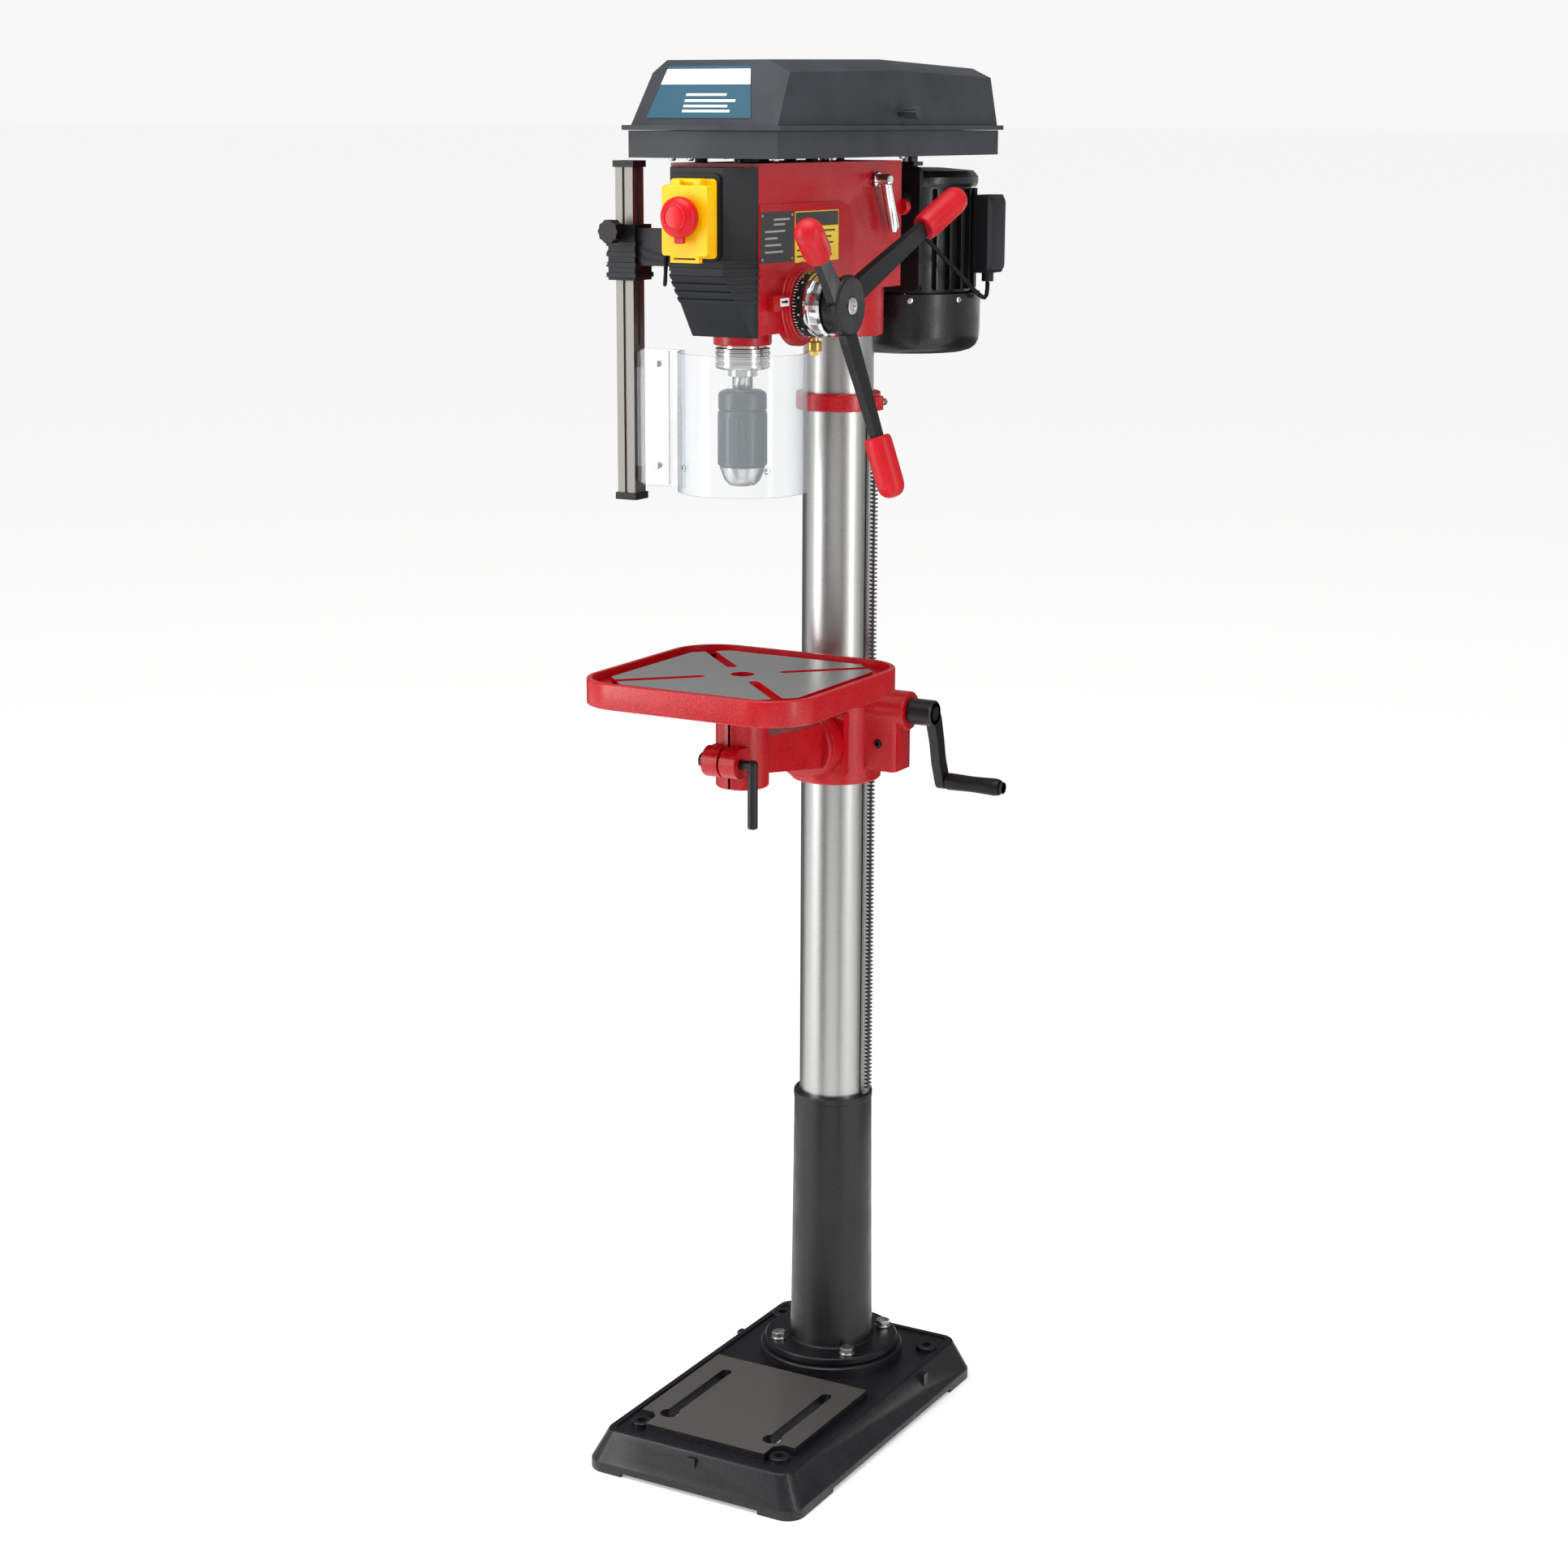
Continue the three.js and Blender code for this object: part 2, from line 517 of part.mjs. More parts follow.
// Red push button on the flap.
function stopButton() {
  const stem = rod('y', 8, -341, -324, 0, 1416, 24);
  const cap = turned('y', [[0, -354.5], [12, -354], [19, -350.5], [21, -346.5], [21, -339.5], [18, -338.5],
    [0, -338.5]], 0, 1416, 36);
  const tab = block(-6, 6, -344.5, -339, 1390, 1404);
  return join(stem, cap, tab);
}

// Open tray under the belts.
function beltTray() {
  const outline = (h, f, b) => [[h, b], [-h, b], [-h, -f], [-25, -f - 4], [25, -f - 4], [h, -f]];
  const outer = prism('z', outline(trayHalf, trayFront, trayBack), trayBottom, 1501.5);
  const inner = prism('z', outline(trayHalf - 3, trayFront - 3, trayBack - 3), trayBottom + 3, 1510);
  const knuckles = [];
  for (const y of [-180, 110]) {
    knuckles.push(rod('y', 3.2, y, y + 18, -96, 1498, 14), rod('y', 3.2, y + 36, y + 54, -96, 1498, 14));
    knuckles.push(block(-97, -trayHalf + 1, y, y + 18, 1494.9, 1497.6));
    knuckles.push(block(-97, -trayHalf + 1, y + 36, y + 54, 1494.9, 1497.6));
  }
  const feet = [];
  for (const y of [-250, -120, -60]) {
    for (const x of [-30, 30]) feet.push(rod('z', 7, headTop + 0.3, trayBottom + 1, x, y, 14));
  }
  const tray = join(outer.subtract(inner), ...knuckles, ...feet);
  return cut(tray, hole('z', 32, 1460, 1490, 0, -reach, 28), hole('z', 14, 1460, 1490, 0, -34, 24),
    prism('z', slotOutline(0, motorY - 14, 0, motorY + 2, 13, 5), 1460, 1490));
}

// Hinged belt lid with sloped faces.
function beltLid() {
  const f = trayFront;
  const b = trayBack;
  const shape = (t, low) => hull([
    [-88 + t, -f + t, low], [88 - t, -f + t, low], [-25, -f - 4 + t, low], [25, -f - 4 + t, low],
    [-88 + t, b - t, low], [88 - t, b - t, low],
    [-60 + t, -268 + t, 1572.6 - t], [60 - t, -268 + t, 1572.6 - t],
    [-82 + t, -261 + t, 1560 - t], [82 - t, -261 + t, 1560 - t],
    [-84 + t, -24, 1565 - t], [84 - t, -24, 1565 - t],
    [-60 + t, -24, 1577 - t], [60 - t, -24, 1577 - t],
    [-82 + t, b - 9 - t, 1560.5 - t], [82 - t, b - 9 - t, 1560.5 - t],
    [-60 + t, b - 12 - t, 1571 - t], [60 - t, b - 12 - t, 1571 - t]]);
  const rimOutline = (h, fr, bk) => [[h, bk], [-h, bk], [-h, -fr], [-25, -fr - 4], [25, -fr - 4], [h, -fr]];
  const rim = prism('z', rimOutline(94.2, f + 4.5, b + 2.6), 1502, 1507);
  const body = cut(join(shape(0, 1502), rim), shape(3, 1501));
  const hinge = [];
  for (const y of [-180, 110]) {
    hinge.push(rod('y', 3.2, y + 18.4, y + 35.6, -96, 1498, 14));
    hinge.push(block(-99.2, -92, y + 18.4, y + 35.6, 1498, 1505));
  }
  return join(body, ...hinge, lidKnob());
}

// Fluted knob used to lift the lid.
function lidKnob() {
  const stem = rod('x', 4.5, 84.5, 98, lidKnobY, 1521, 16);
  const outline = [];
  for (let i = 0; i < 24; i += 1) {
    const t = (i / 24) * 2 * Math.PI;
    const r = i % 2 === 0 ? 7.2 : 6.4;
    outline.push([lidKnobY + r * Math.cos(t), 1521 + r * Math.sin(t)]);
  }
  const head = prism('x', outline, 95, 111);
  return join(stem, head);
}

// Stepped V-pulley: radii from the bottom step up.
function pulley(y, radii, bore, hubDown, hubRadius, seg = 40) {
  const step = 15;
  const base = 1483;
  const profile = [[bore, base]];
  radii.forEach((r, i) => {
    const z = base + i * step;
    profile.push([r, z + (i === 0 ? 0 : 1)], [r - 6, z + 4.6], [r - 6, z + 8.6], [r, z + 12.2]);
    if (i + 1 < radii.length) profile.push([Math.min(r, radii[i + 1]), z + 13.4]);
  });
  profile.push([bore, base + radii.length * step - 1]);
  const body = ring('z', profile, 0, y, seg);
  if (hubDown === 0) return body;
  return join(body, ring('z', [[bore, hubDown], [hubRadius, hubDown], [hubRadius, base + 1], [bore, base + 1]], 0, y, 28));
}

// V-belt round two pulleys: outside loop less a hole that widens toward both faces.
function beltLoop(yA, rA, yB, rB, level) {
  const mid = 1483 + level * 15 + 6.6;
  const line = (grow, z) => [...circleOutline(0, yA, rA - 6 + grow, 24), ...circleOutline(0, yB, rB - 6 + grow, 24)]
    .map(([x, y]) => [x, y, z]);
  const outside = hull([...line(6.2, mid - 4.3), ...line(6.2, mid + 4.3)]);
  const straight = hull([...line(0.6, mid - 9), ...line(0.6, mid + 9)]);
  const above = hull([...line(0.6, mid + 1.9), ...line(15.4, mid + 9)]);
  const below = hull([...line(0.6, mid - 1.9), ...line(15.4, mid - 9)]);
  return cut(outside, straight, above, below);
}

function idlerPost() {
  const pin = rod('z', 8, 1456, 1528, 0, -34, 24, 0.6);
  const foot = rod('z', 13, headTop + 0.3, 1481.6, 0, -34, 24);
  return join(pin, foot);
}

// Finned motor body with its shaft hole down the middle.
function motorHousing() {
  const core = rod('z', 72, 1318, 1440, 0, motorY, 48);
  const fins = [];
  for (let i = 0; i < 28; i += 1) {
    const t = (i / 28) * 2 * Math.PI;
    const [c, s] = [Math.cos(t), Math.sin(t)];
    const corner = (r, w) => [r * c - w * s, motorY + r * s + w * c];
    fins.push(prism('z', [corner(66, -1.4), corner(79, -1.1), corner(79, 1.1), corner(66, 1.4)], 1322, 1436));
  }
  const topBell = turned('z', [[0, 1438], [78, 1438], [80, 1442], [80, 1449], [74, 1456], [40, 1459],
    [0, 1459]], 0, motorY, 48);
  const pad = block(-46, 46, motorY - 81, motorY - 50, 1330, 1446);
  const boxPad = block(50, 82, motorY + 4, motorY + 44, 1345, 1425);
  const body = join(core, ...fins, topBell, pad, boxPad);
  return cut(body, hole('z', 9 + running, 1310, 1470, 0, motorY, 24));
}

// Pressed cover over the fan at the bottom of the motor.
function fanCover() {
  const y = motorY;
  const cup = ring('z', [[motorRadius - 2, 1317.6], [motorRadius, 1317.6], [motorRadius, 1268],
    [motorRadius - 6, 1254], [motorRadius - 18, 1249], [22, 1249], [22, 1251.5], [motorRadius - 19, 1251.5],
    [motorRadius - 8, 1256], [motorRadius - 2, 1269]], 0, y, 48);
  const bridge = ring('z', [[motorRadius - 3, 1312], [motorRadius - 12, 1314], [motorRadius - 12, 1317.6],
    [motorRadius - 1, 1317.6], [motorRadius - 1, 1312]], 0, y, 48);
  return join(cup, bridge);
}

// Motor shaft with the cooling fan on its lower end.
function motorRotor() {
  const shaft = rod('z', 9, 1262, 1530, 0, motorY, 24, 0.6);
  const hub = rod('z', 16, 1262, 1290, 0, motorY, 24);
  const blades = [];
  for (let i = 0; i < 6; i += 1) {
    const t = (i / 6) * 2 * Math.PI;
    const [c, s] = [Math.cos(t), Math.sin(t)];
    const corner = (r, w) => [r * c - w * s, motorY + r * s + w * c];
    blades.push(prism('z', [corner(12, -1.2), corner(66, -1.2), corner(66, 1.2), corner(12, 1.2)], 1264, 1288));
  }
  return join(shaft, hub, ...blades);
}

function terminalBox() {
  const body = prism('x', roundedOutline(motorY + 2, motorY + 46, 1340, 1429, 5, 3), 82.3, 100);
  const shape = hull([...roundedOutline(motorY + 2, motorY + 46, 1340, 1429, 6, 3).map(([y, z]) => [100, y, z]),
    ...roundedOutline(motorY + 6, motorY + 42, 1344, 1425, 6, 3).map(([y, z]) => [104, y, z])]);
  const gland = rod('z', 7, 1330, 1341, 91, motorY + 24, 18);
  return join(body, shape, gland);
}

// Plate between the slide bars and the motor.
function motorBracket() {
  const y1 = motorY - 81.3;
  const y0 = y1 - 8;
  const plate = prism('y', roundedOutline(-58, 58, 1322, 1462, 8, 3), y0, y1);
  const holes = [];
  for (const x of [-barSpread, barSpread]) {
    holes.push(hole('y', 7 + slip, y0 - 20, y1 + 5, x, barHeight, 20));
  }
  const sleeves = [];
  for (const x of [-barSpread, barSpread]) {
    sleeves.push(rod('y', 12, y0 - 12, y0 + 1, x, barHeight, 24));
  }
  const cover = block(-50, 50, y0, y1 + 60, 1462.4, 1467);
  const roofWeb = block(-50, 50, y0, y1, 1455, 1466);
  const opening = hole('z', 82, 1461, 1470, 0, motorY, 40);
  return cut(join(plate, ...sleeves, cover.subtract(opening), roofWeb), ...holes);
}

function slideBar(x) {
  return rod('y', 7, -46, motorY - 81.8, x, barHeight, 20, 0.8);
}

// Bent lever used to set the belt tension.
function tensionLever() {
  const stub = rod('x', 5, 44, 70, -17, 1449, 16);
  const collar = rod('x', 9, headHalf + 2, 58, -17, 1449, 18, 1);
  const arm = rod('x', 6.2, 56, 73, -17, 1449, 18, 1.5);
  const drop = hull([...circleOutline(66, -17, 6, 14).map(([x, y]) => [x, y, 1449]),
    ...circleOutline(66, 4, 6.6, 14).map(([x, y]) => [x, y, 1398]),
    ...circleOutline(66, 4, 4.5, 14).map(([x, y]) => [x, y, 1392])]);
  return join(stub, collar, arm, drop);
}

// Feed pinion and its long shaft.
function feedShaft() {
  const shaft = rod('x', 8, -66, 93, feedY, feedZ, 24, 0.8);
  const outline = [];
  for (let i = 0; i < 12; i += 1) {
    const t = (i / 12) * 2 * Math.PI;
    for (const [d, r] of [[-0.16, 8.2], [-0.08, 10.4], [0.08, 10.4], [0.16, 8.2]]) {
      outline.push([feedY + r * Math.cos(t + d), feedZ + r * Math.sin(t + d)]);
    }
  }
  const pinion = prism('x', outline, -8.5, 8.5);
  return join(shaft, pinion);
}

// Black numbered ring beside the head.
function depthRing() {
  const profile = [[10.5, 60.5], [33, 60.5], [34, 61.5], [34, 71], [33, 72], [10.5, 72]];
  return ring('x', profile, feedY, feedZ, 48);
}

// Polished clamp ring between the depth ring and the handle hub.
function stopRing() {
  const profile = [[10.5, 72.5], [33, 72.5], [34.5, 74], [34.5, 79], [33, 80], [33, 90],
    [31.5, 91.5], [10.5, 91.5]];
  return ring('x', profile, feedY, feedZ, 48);
}

// Black hub that carries the three arms.
function feedHub() {
  const profile = [[8.3, 92], [27, 92], [30, 94], [30, 101], [32, 105], [32, 112], [30, 114],
    [8.3, 114]];
  let body = ring('x', profile, feedY, feedZ, 40);
  body = join(body, rod('x', 9, 93.6, 114, feedY, feedZ, 24));
  for (let i = 0; i < 3; i += 1) body = body.subtract(armRoot(i, slip));
  return body;
}

const feedPhase = -1.12;
const armTilt = 0.292;

// Direction across the machine for arm number i, in the Y-Z plane.
function armFrame(i) {
  const t = feedPhase + (i * 2 * Math.PI) / 3;
  const out = new THREE.Vector3(Math.sin(armTilt), Math.sin(t) * Math.cos(armTilt), Math.cos(t) * Math.cos(armTilt));
  const across = new THREE.Vector3(0, Math.cos(t), -Math.sin(t));
  const up = new THREE.Vector3().crossVectors(across, out);
  return new THREE.Matrix4().makeBasis(across, up, out).setPosition(99, feedY, feedZ);
}

function placed(body, i) {
  const m = armFrame(i);
  const mesh = body.getMesh();
  const g = new THREE.BufferGeometry();
  g.setAttribute('position', new THREE.BufferAttribute(new Float32Array(mesh.vertProperties), 3));
  g.setIndex(new THREE.BufferAttribute(new Uint32Array(mesh.triVerts), 1));
  g.applyMatrix4(m);
  return solid(g);
}

function armRoot(i, gap) {
  return placed(block(-12.5 - gap, 12.5 + gap, -4.5 - gap, 4.5 + gap, 14 - gap, 50), i);
}

// Flat tapered arm.
function feedArm(i) {
  const bar = hull([[-12, -4.5, 14], [12, -4.5, 14], [-12, 4.5, 14], [12, 4.5, 14],
    [-12.5, -4.5, 40], [12.5, -4.5, 40], [-12.5, 4.5, 40], [12.5, 4.5, 40],
    [-8.5, -4, 142], [8.5, -4, 142], [-8.5, 4, 142], [8.5, 4, 142]]);
  const tail = hull([[-8.5, -4, 140], [8.5, -4, 140], [-8.5, 4, 140], [8.5, 4, 140],
    [-6, -3.5, 190], [6, -3.5, 190], [-6, 3.5, 190], [6, 3.5, 190]]);
  return placed(join(bar, tail), i);
}

// Round-ended plastic grip over the arm's end.
function feedGrip(i) {
  const skin = turned('z', [[0, 143], [13, 143], [14.5, 145], [15, 152], [15, 196], [13.5, 202],
    [10, 206.5], [5, 209], [0, 209.6]], 0, 0, 24);
  const socket = hull([[-9, -4.5, 142], [9, -4.5, 142], [-9, 4.5, 142], [9, 4.5, 142],
    [-6.4, -3.9, 191], [6.4, -3.9, 191], [-6.4, 3.9, 191], [6.4, 3.9, 191]]);
  return placed(skin.subtract(socket), i);
}

// Round cap over the quill return spring on the far side.
function springCap() {
  const profile = [[0, -78], [26, -78], [28, -76], [28, -60.4], [12, -60.4], [12, -69], [0, -69]];
  return turned('x', profile, feedY, feedZ, 36);
}

// Quill with its grooved lower collar.
function quill() {
  const r = quillRadius;
  const body = ring('z', [[9.5, 1254], [24, 1254], [28.5, 1255.5], [29.3, 1257], [29.3, 1260], [28, 1261],
    [28, 1263], [29.3, 1264], [29.3, 1267], [28, 1268], [28, 1270], [29.3, 1271], [29.3, 1274],
    [27, 1276], [r, 1276], [r, 1418], [9.5, 1418]], 0, -reach, 40);
  const flat = block(-9, 9, -reach + 21.2, -reach + 40, 1284, 1420);
  return body.subtract(flat);
}

// Spindle with the stepped nose above the chuck.
function spindle() {
  const y = -reach;
  return turned('z', [[0, 1226], [8, 1226], [9.5, 1234], [11, 1234.5], [11, 1246], [16, 1247],
    [16, 1253.4], [9, 1253.4], [9, 1419], [12, 1419.5], [12, 1423], [9, 1423.5], [9, 1564],
    [8, 1565], [0, 1565]], 0, y, 32);
}

// Keyless chuck: inner body with the taper socket and nose.
function chuckBody() {
  const y = -reach;
  const body = turned('z', [[0, 1134], [12, 1130], [14, 1130], [19.5, 1136], [24, 1148.5], [24, 1151], [20, 1151],
    [20, 1211], [25, 1211], [26, 1213], [26, 1228], [24.5, 1230.5], [20, 1232], [0, 1232]], 0, y, 36);
  const socket = turned('z', [[0, 1225], [8.3, 1225], [9.9, 1234.4], [0, 1234.4]], 0, y, 28);
  return cut(body, socket, hole('z', 6.5, 1120, 1160, 0, y, 20));
}

// Fluted gripping sleeve of the chuck.
function chuckSleeve() {
  const y = -reach;
  const outer = ring('z', [[20.4, 1151.4], [25.5, 1151.4], [26.6, 1153], [26.6, 1207], [25.5, 1210.4],
    [20.4, 1210.4]], 0, y, 36);
  const flutes = [];
  for (let i = 0; i < 12; i += 1) {
    const t = (i / 12) * 2 * Math.PI;
    flutes.push(rod('z', 2.4, 1158, 1202, 28.2 * Math.cos(t), y + 28.2 * Math.sin(t), 8));
  }
  return cut(outer, ...flutes);
}

// Square guard post with side grooves, end caps and the lower hinge barrel for the screen.
function guardPost() {
  const [x, y] = [postX, postY];
  const tube = block(x - 11, x + 11, y - 11, y + 11, 1114, 1464);
  const grooves = [block(x - 2, x + 2, y - 13, y - 9, 1100, 1500), block(x + 9, x + 13, y - 2, y + 2, 1274, 1500)];
  const cap = block(x - 13, x + 13, y - 13, y + 13, 1463, 1470);
  const foot = block(x - 13, x + 13, y - 13, y + 13, 1107, 1114.5);
  const barrels = [];
  for (const z of [1128, 1252]) {
    barrels.push(rod('z', 3, z, z + 16, x + 15, y - 6, 14), block(x + 10, x + 15, y - 7.5, y - 4.5, z, z + 16));
  }
  return join(cut(tube, ...grooves), cap, foot, ...barrels);
}

// Ribbed clamp that holds the guard post to the head.
function guardBracket() {
  const [x, y] = [postX, postY];
  const sleeve = block(x - 17, x + 17, y - 17, y + 17, 1344, 1403);
  const ribs = [];
  for (let i = 0; i < 4; i += 1) ribs.push(block(x - 18.5, x + 18.5, y - 18.5, y + 18.5, 1347 + i * 11, 1352 + i * 11));
  const arm = block(x + 14, -headHalf - 2, y - 12, y + 12, 1360, 1399);
  const well = block(x - 11.3, x + 11.3, y - 11.3, y + 11.3, 1300, 1450);
  return cut(join(sleeve, ...ribs, arm), well, hole('y', 4.3, y - 30, y - 9, x - 4, 1396, 14));
}

// Knob screw that locks the post at the wanted height.
function guardKnob() {
  const [x, y] = [postX - 4, postY];
  const screw = rod('y', 4, y - 26, y - 11.4, x, 1396, 14);
  const outline = [];
  for (let i = 0; i < 20; i += 1) {
    const t = (i / 20) * 2 * Math.PI;
    const r = i % 2 === 0 ? 13 : 11.6;
    outline.push([x + r * Math.cos(t), 1396 + r * Math.sin(t)]);
  }
  return join(screw, prism('y', outline, y - 38, y - 24));
}

// Clear screen: flat flange from the hinge barrel, then half a turn round the chuck.
function guardScreen() {
  const thick = 3;
  const radius = 70;
  const flangeY = postY - 6;
  const outer = rod('z', radius, 1124, 1272, 0, -reach, 56);
  const inner = rod('z', radius - thick, 1120, 1280, 0, -reach, 56);
  const back = block(-100, 100, flangeY + 1.5, -60, 1100, 1300);
  const side = block(0, 100, flangeY - 5, -reach + 42, 1100, 1300);
  const shell = outer.subtract(inner);
  const front = shell.subtract(back);
  const right = shell.intersect(side);
  const hingeX = postX + 15;
  const flange = block(hingeX, -radius + thick, flangeY - 1.5, flangeY + 1.5, 1124, 1272);
  const barrel = rod('z', 3, 1144.5, 1251.5, hingeX, flangeY, 14);
  const reliefs = [block(hingeX - 5, hingeX + 4.6, flangeY - 5, flangeY + 5, 1100, 1144.5),
    block(hingeX - 5, hingeX + 4.6, flangeY - 5, flangeY + 5, 1251.5, 1300)];
  return cut(join(front, right, flange, barrel), ...reliefs);
}

function interlockCable() {
  const y = postY;
  return swept([[-76, y - 12.6, 1386], [-76, y - 18, 1385], [-73, y - 30, 1368], [-69, y - 40, 1348],
    [-65, y - 47, 1343], [-61, y - 52, 1350], [-58, y - 57, 1372], [-55.5, y - 59, 1384],
    [-51.9, y - 59.4, 1387]], 2.2, 20);
}

function motorLead() {
  return swept([[59.6, motorY - 85, 1385], [64, motorY - 85, 1383], [76, motorY - 74, 1366],
    [88, motorY - 46, 1342], [93, motorY - 16, 1322], [93, motorY + 10, 1312], [91.5, motorY + 22, 1316],
    [91, motorY + 24, 1329.4]], 2.6, 20);
}

piece('base_casting', baseCasting(), black);
piece('column_foot', columnFoot(), black);
for (let i = 0; i < 4; i += 1) piece(`flange_bolt_${i + 1}`, flangeBolt(i), steel);
piece('column_tube', columnTube(), steel);
piece('height_rack', heightRack(), steel);
piece('rack_collar', rackCollar(), red);
piece('table_bracket', tableBracket(), red);
piece('column_lock', columnLock(), black);
piece('lift_crank', liftCrank(), black);
piece('crank_grip', crankGrip(), black);
piece('table_arm', tableArm(), red);
piece('work_table', workTable(), red);
piece('table_clamp_lever', tableClampLever(), black);
piece('head_casting', headCasting(), red);
piece('front_cover', frontCover(), black);
piece('switch_body', switchBody(), yellow);
piece('start_key', switchKey(0.6, 15.4), green);
piece('off_key', switchKey(-15.4, -0.6), red);
piece('switch_flap', switchFlap(), yellow);
piece('stop_button', stopButton(), grip);
piece('belt_tray', beltTray(), charcoal);
piece('belt_lid', beltLid(), charcoal);
piece('spindle_pulley', pulley(-reach, [62, 54, 44], 9.3, 1479, 20), steel);
piece('idler_pulley', pulley(-34, [44, 54, 62], 8.4, 1482, 20), steel);
piece('motor_pulley', pulley(motorY, [30, 37, 43], 9.3, 1479, 16), steel);
piece('idler_post', idlerPost(), dark);
piece('front_belt', beltLoop(-reach, 54, -34, 54, 1), rubber);
piece('rear_belt', beltLoop(-34, 62, motorY, 43, 2), rubber);
piece('motor_housing', motorHousing(), black);
piece('fan_cover', fanCover(), black);
piece('motor_rotor', motorRotor(), steel);
piece('terminal_box', terminalBox(), black);
piece('motor_bracket', motorBracket(), black);
piece('slide_bar_1', slideBar(-barSpread), steel);
piece('slide_bar_2', slideBar(barSpread), steel);
piece('tension_lever', tensionLever(), chrome);
piece('feed_shaft', feedShaft(), steel);
piece('depth_ring', depthRing(), black);
piece('stop_ring', stopRing(), chrome);
piece('feed_hub', feedHub(), black);
for (let i = 0; i < 3; i += 1) {
  piece(`feed_arm_${i + 1}`, feedArm(i), black);
  piece(`feed_grip_${i + 1}`, feedGrip(i), grip);
}
piece('spring_cap', springCap(), black);
piece('quill', quill(), steel);
piece('spindle', spindle(), steel);
piece('chuck_body', chuckBody(), dark);
piece('chuck_sleeve', chuckSleeve(), dark);
piece('guard_post', guardPost(), steel);
piece('guard_bracket', guardBracket(), black);
piece('guard_knob', guardKnob(), black);
piece('guard_screen', guardScreen(), clear);
piece('interlock_cable', interlockCable(), rubber);
piece('motor_lead', motorLead(), rubber);

export default group;
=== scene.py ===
import json
import math

import bmesh
import bpy
from mathutils import Matrix, Vector
from mathutils.bvhtree import BVHTree

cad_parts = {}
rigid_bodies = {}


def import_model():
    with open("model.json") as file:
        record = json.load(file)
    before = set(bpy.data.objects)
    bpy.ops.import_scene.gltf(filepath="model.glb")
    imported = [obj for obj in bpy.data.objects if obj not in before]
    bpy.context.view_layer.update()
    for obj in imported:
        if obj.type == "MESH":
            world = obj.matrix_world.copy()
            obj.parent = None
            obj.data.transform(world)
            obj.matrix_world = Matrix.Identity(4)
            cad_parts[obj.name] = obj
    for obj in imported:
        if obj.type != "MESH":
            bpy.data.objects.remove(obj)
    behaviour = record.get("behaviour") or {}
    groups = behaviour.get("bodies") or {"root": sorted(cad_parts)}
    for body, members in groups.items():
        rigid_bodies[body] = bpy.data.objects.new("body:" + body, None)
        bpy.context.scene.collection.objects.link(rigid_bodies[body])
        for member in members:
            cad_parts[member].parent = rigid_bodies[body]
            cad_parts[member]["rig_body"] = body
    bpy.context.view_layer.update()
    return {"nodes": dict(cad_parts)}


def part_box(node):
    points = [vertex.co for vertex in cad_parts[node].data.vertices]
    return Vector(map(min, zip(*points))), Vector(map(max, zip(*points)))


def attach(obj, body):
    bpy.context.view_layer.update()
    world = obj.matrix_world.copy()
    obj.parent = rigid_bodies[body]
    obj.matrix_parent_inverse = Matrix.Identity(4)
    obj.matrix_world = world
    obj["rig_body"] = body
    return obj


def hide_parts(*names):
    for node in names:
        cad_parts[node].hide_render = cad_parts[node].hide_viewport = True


# Floor-standing drill press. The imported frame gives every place; sizes here are in millimetres
# and each finished mesh is brought to metres.

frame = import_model()
cadNodes = frame["nodes"]
print("frame loaded:", len(cadNodes), "nodes")


def boxOf(node):  # a node's corners in millimetres
    low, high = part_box(node)
    return low * 1000, high * 1000


# ---- colours and nodes


def hexColour(code):  # sRGB hex to linear
    parts = [int(code[i:i + 2], 16) / 255 for i in (1, 3, 5)]
    return tuple(v / 12.92 if v <= 0.04045 else ((v + 0.055) / 1.055) ** 2.4 for v in parts) + (1.0,)


def addNode(tree, kind, settings=None, values=None, links=None):
    node = tree.nodes.new(kind)
    for name, value in (settings or {}).items():
        setattr(node, name, value)
    for socket, value in (values or {}).items():
        node.inputs[socket].default_value = value
    for socket, source in (links or {}).items():
        tree.links.new(source, node.inputs[socket])
    return node


def perMillimetre(size):  # texture scale for a pattern of that size, on Object coordinates in metres
    return 1000.0 / size


def startMaterial(name, values):
    material = bpy.data.materials.new(name)
    material.use_nodes = True
    tree = material.node_tree
    shader = tree.nodes["Principled BSDF"]
    for socket, value in values.items():
        shader.inputs[socket].default_value = value
    place = addNode(tree, "ShaderNodeTexCoord").outputs["Object"]
    return material, tree, shader, place


def noise(tree, place, size, detail=3.0, stretch=None):
    if stretch:
        place = addNode(tree, "ShaderNodeMapping", values={"Scale": stretch}, links={"Vector": place}).outputs["Vector"]
    values = {"Scale": perMillimetre(size), "Detail": detail, "Roughness": 0.55}
    return addNode(tree, "ShaderNodeTexNoise", values=values, links={"Vector": place}).outputs["Fac"]


def spread(tree, source, low, high, fromLow=0.3, fromHigh=0.7):  # noise to a working range
    values = {"From Min": fromLow, "From Max": fromHigh, "To Min": low, "To Max": high}
    return addNode(tree, "ShaderNodeMapRange", values=values, links={"Value": source}).outputs["Result"]


def blendColours(tree, share, first, second):
    values = {6: hexColour(first), 7: hexColour(second)}
    return addNode(tree, "ShaderNodeMix", {"data_type": "RGBA"}, values, {0: share}).outputs[2]


def addBump(tree, shader, height, depth, strength=1.0, under=None):
    links = {"Height": height}
    if under:
        links["Normal"] = under
    bump = addNode(tree, "ShaderNodeBump", values={"Strength": strength, "Distance": depth / 1000}, links=links)
    tree.links.new(bump.outputs["Normal"], shader.inputs["Normal"])
    return bump.outputs["Normal"]


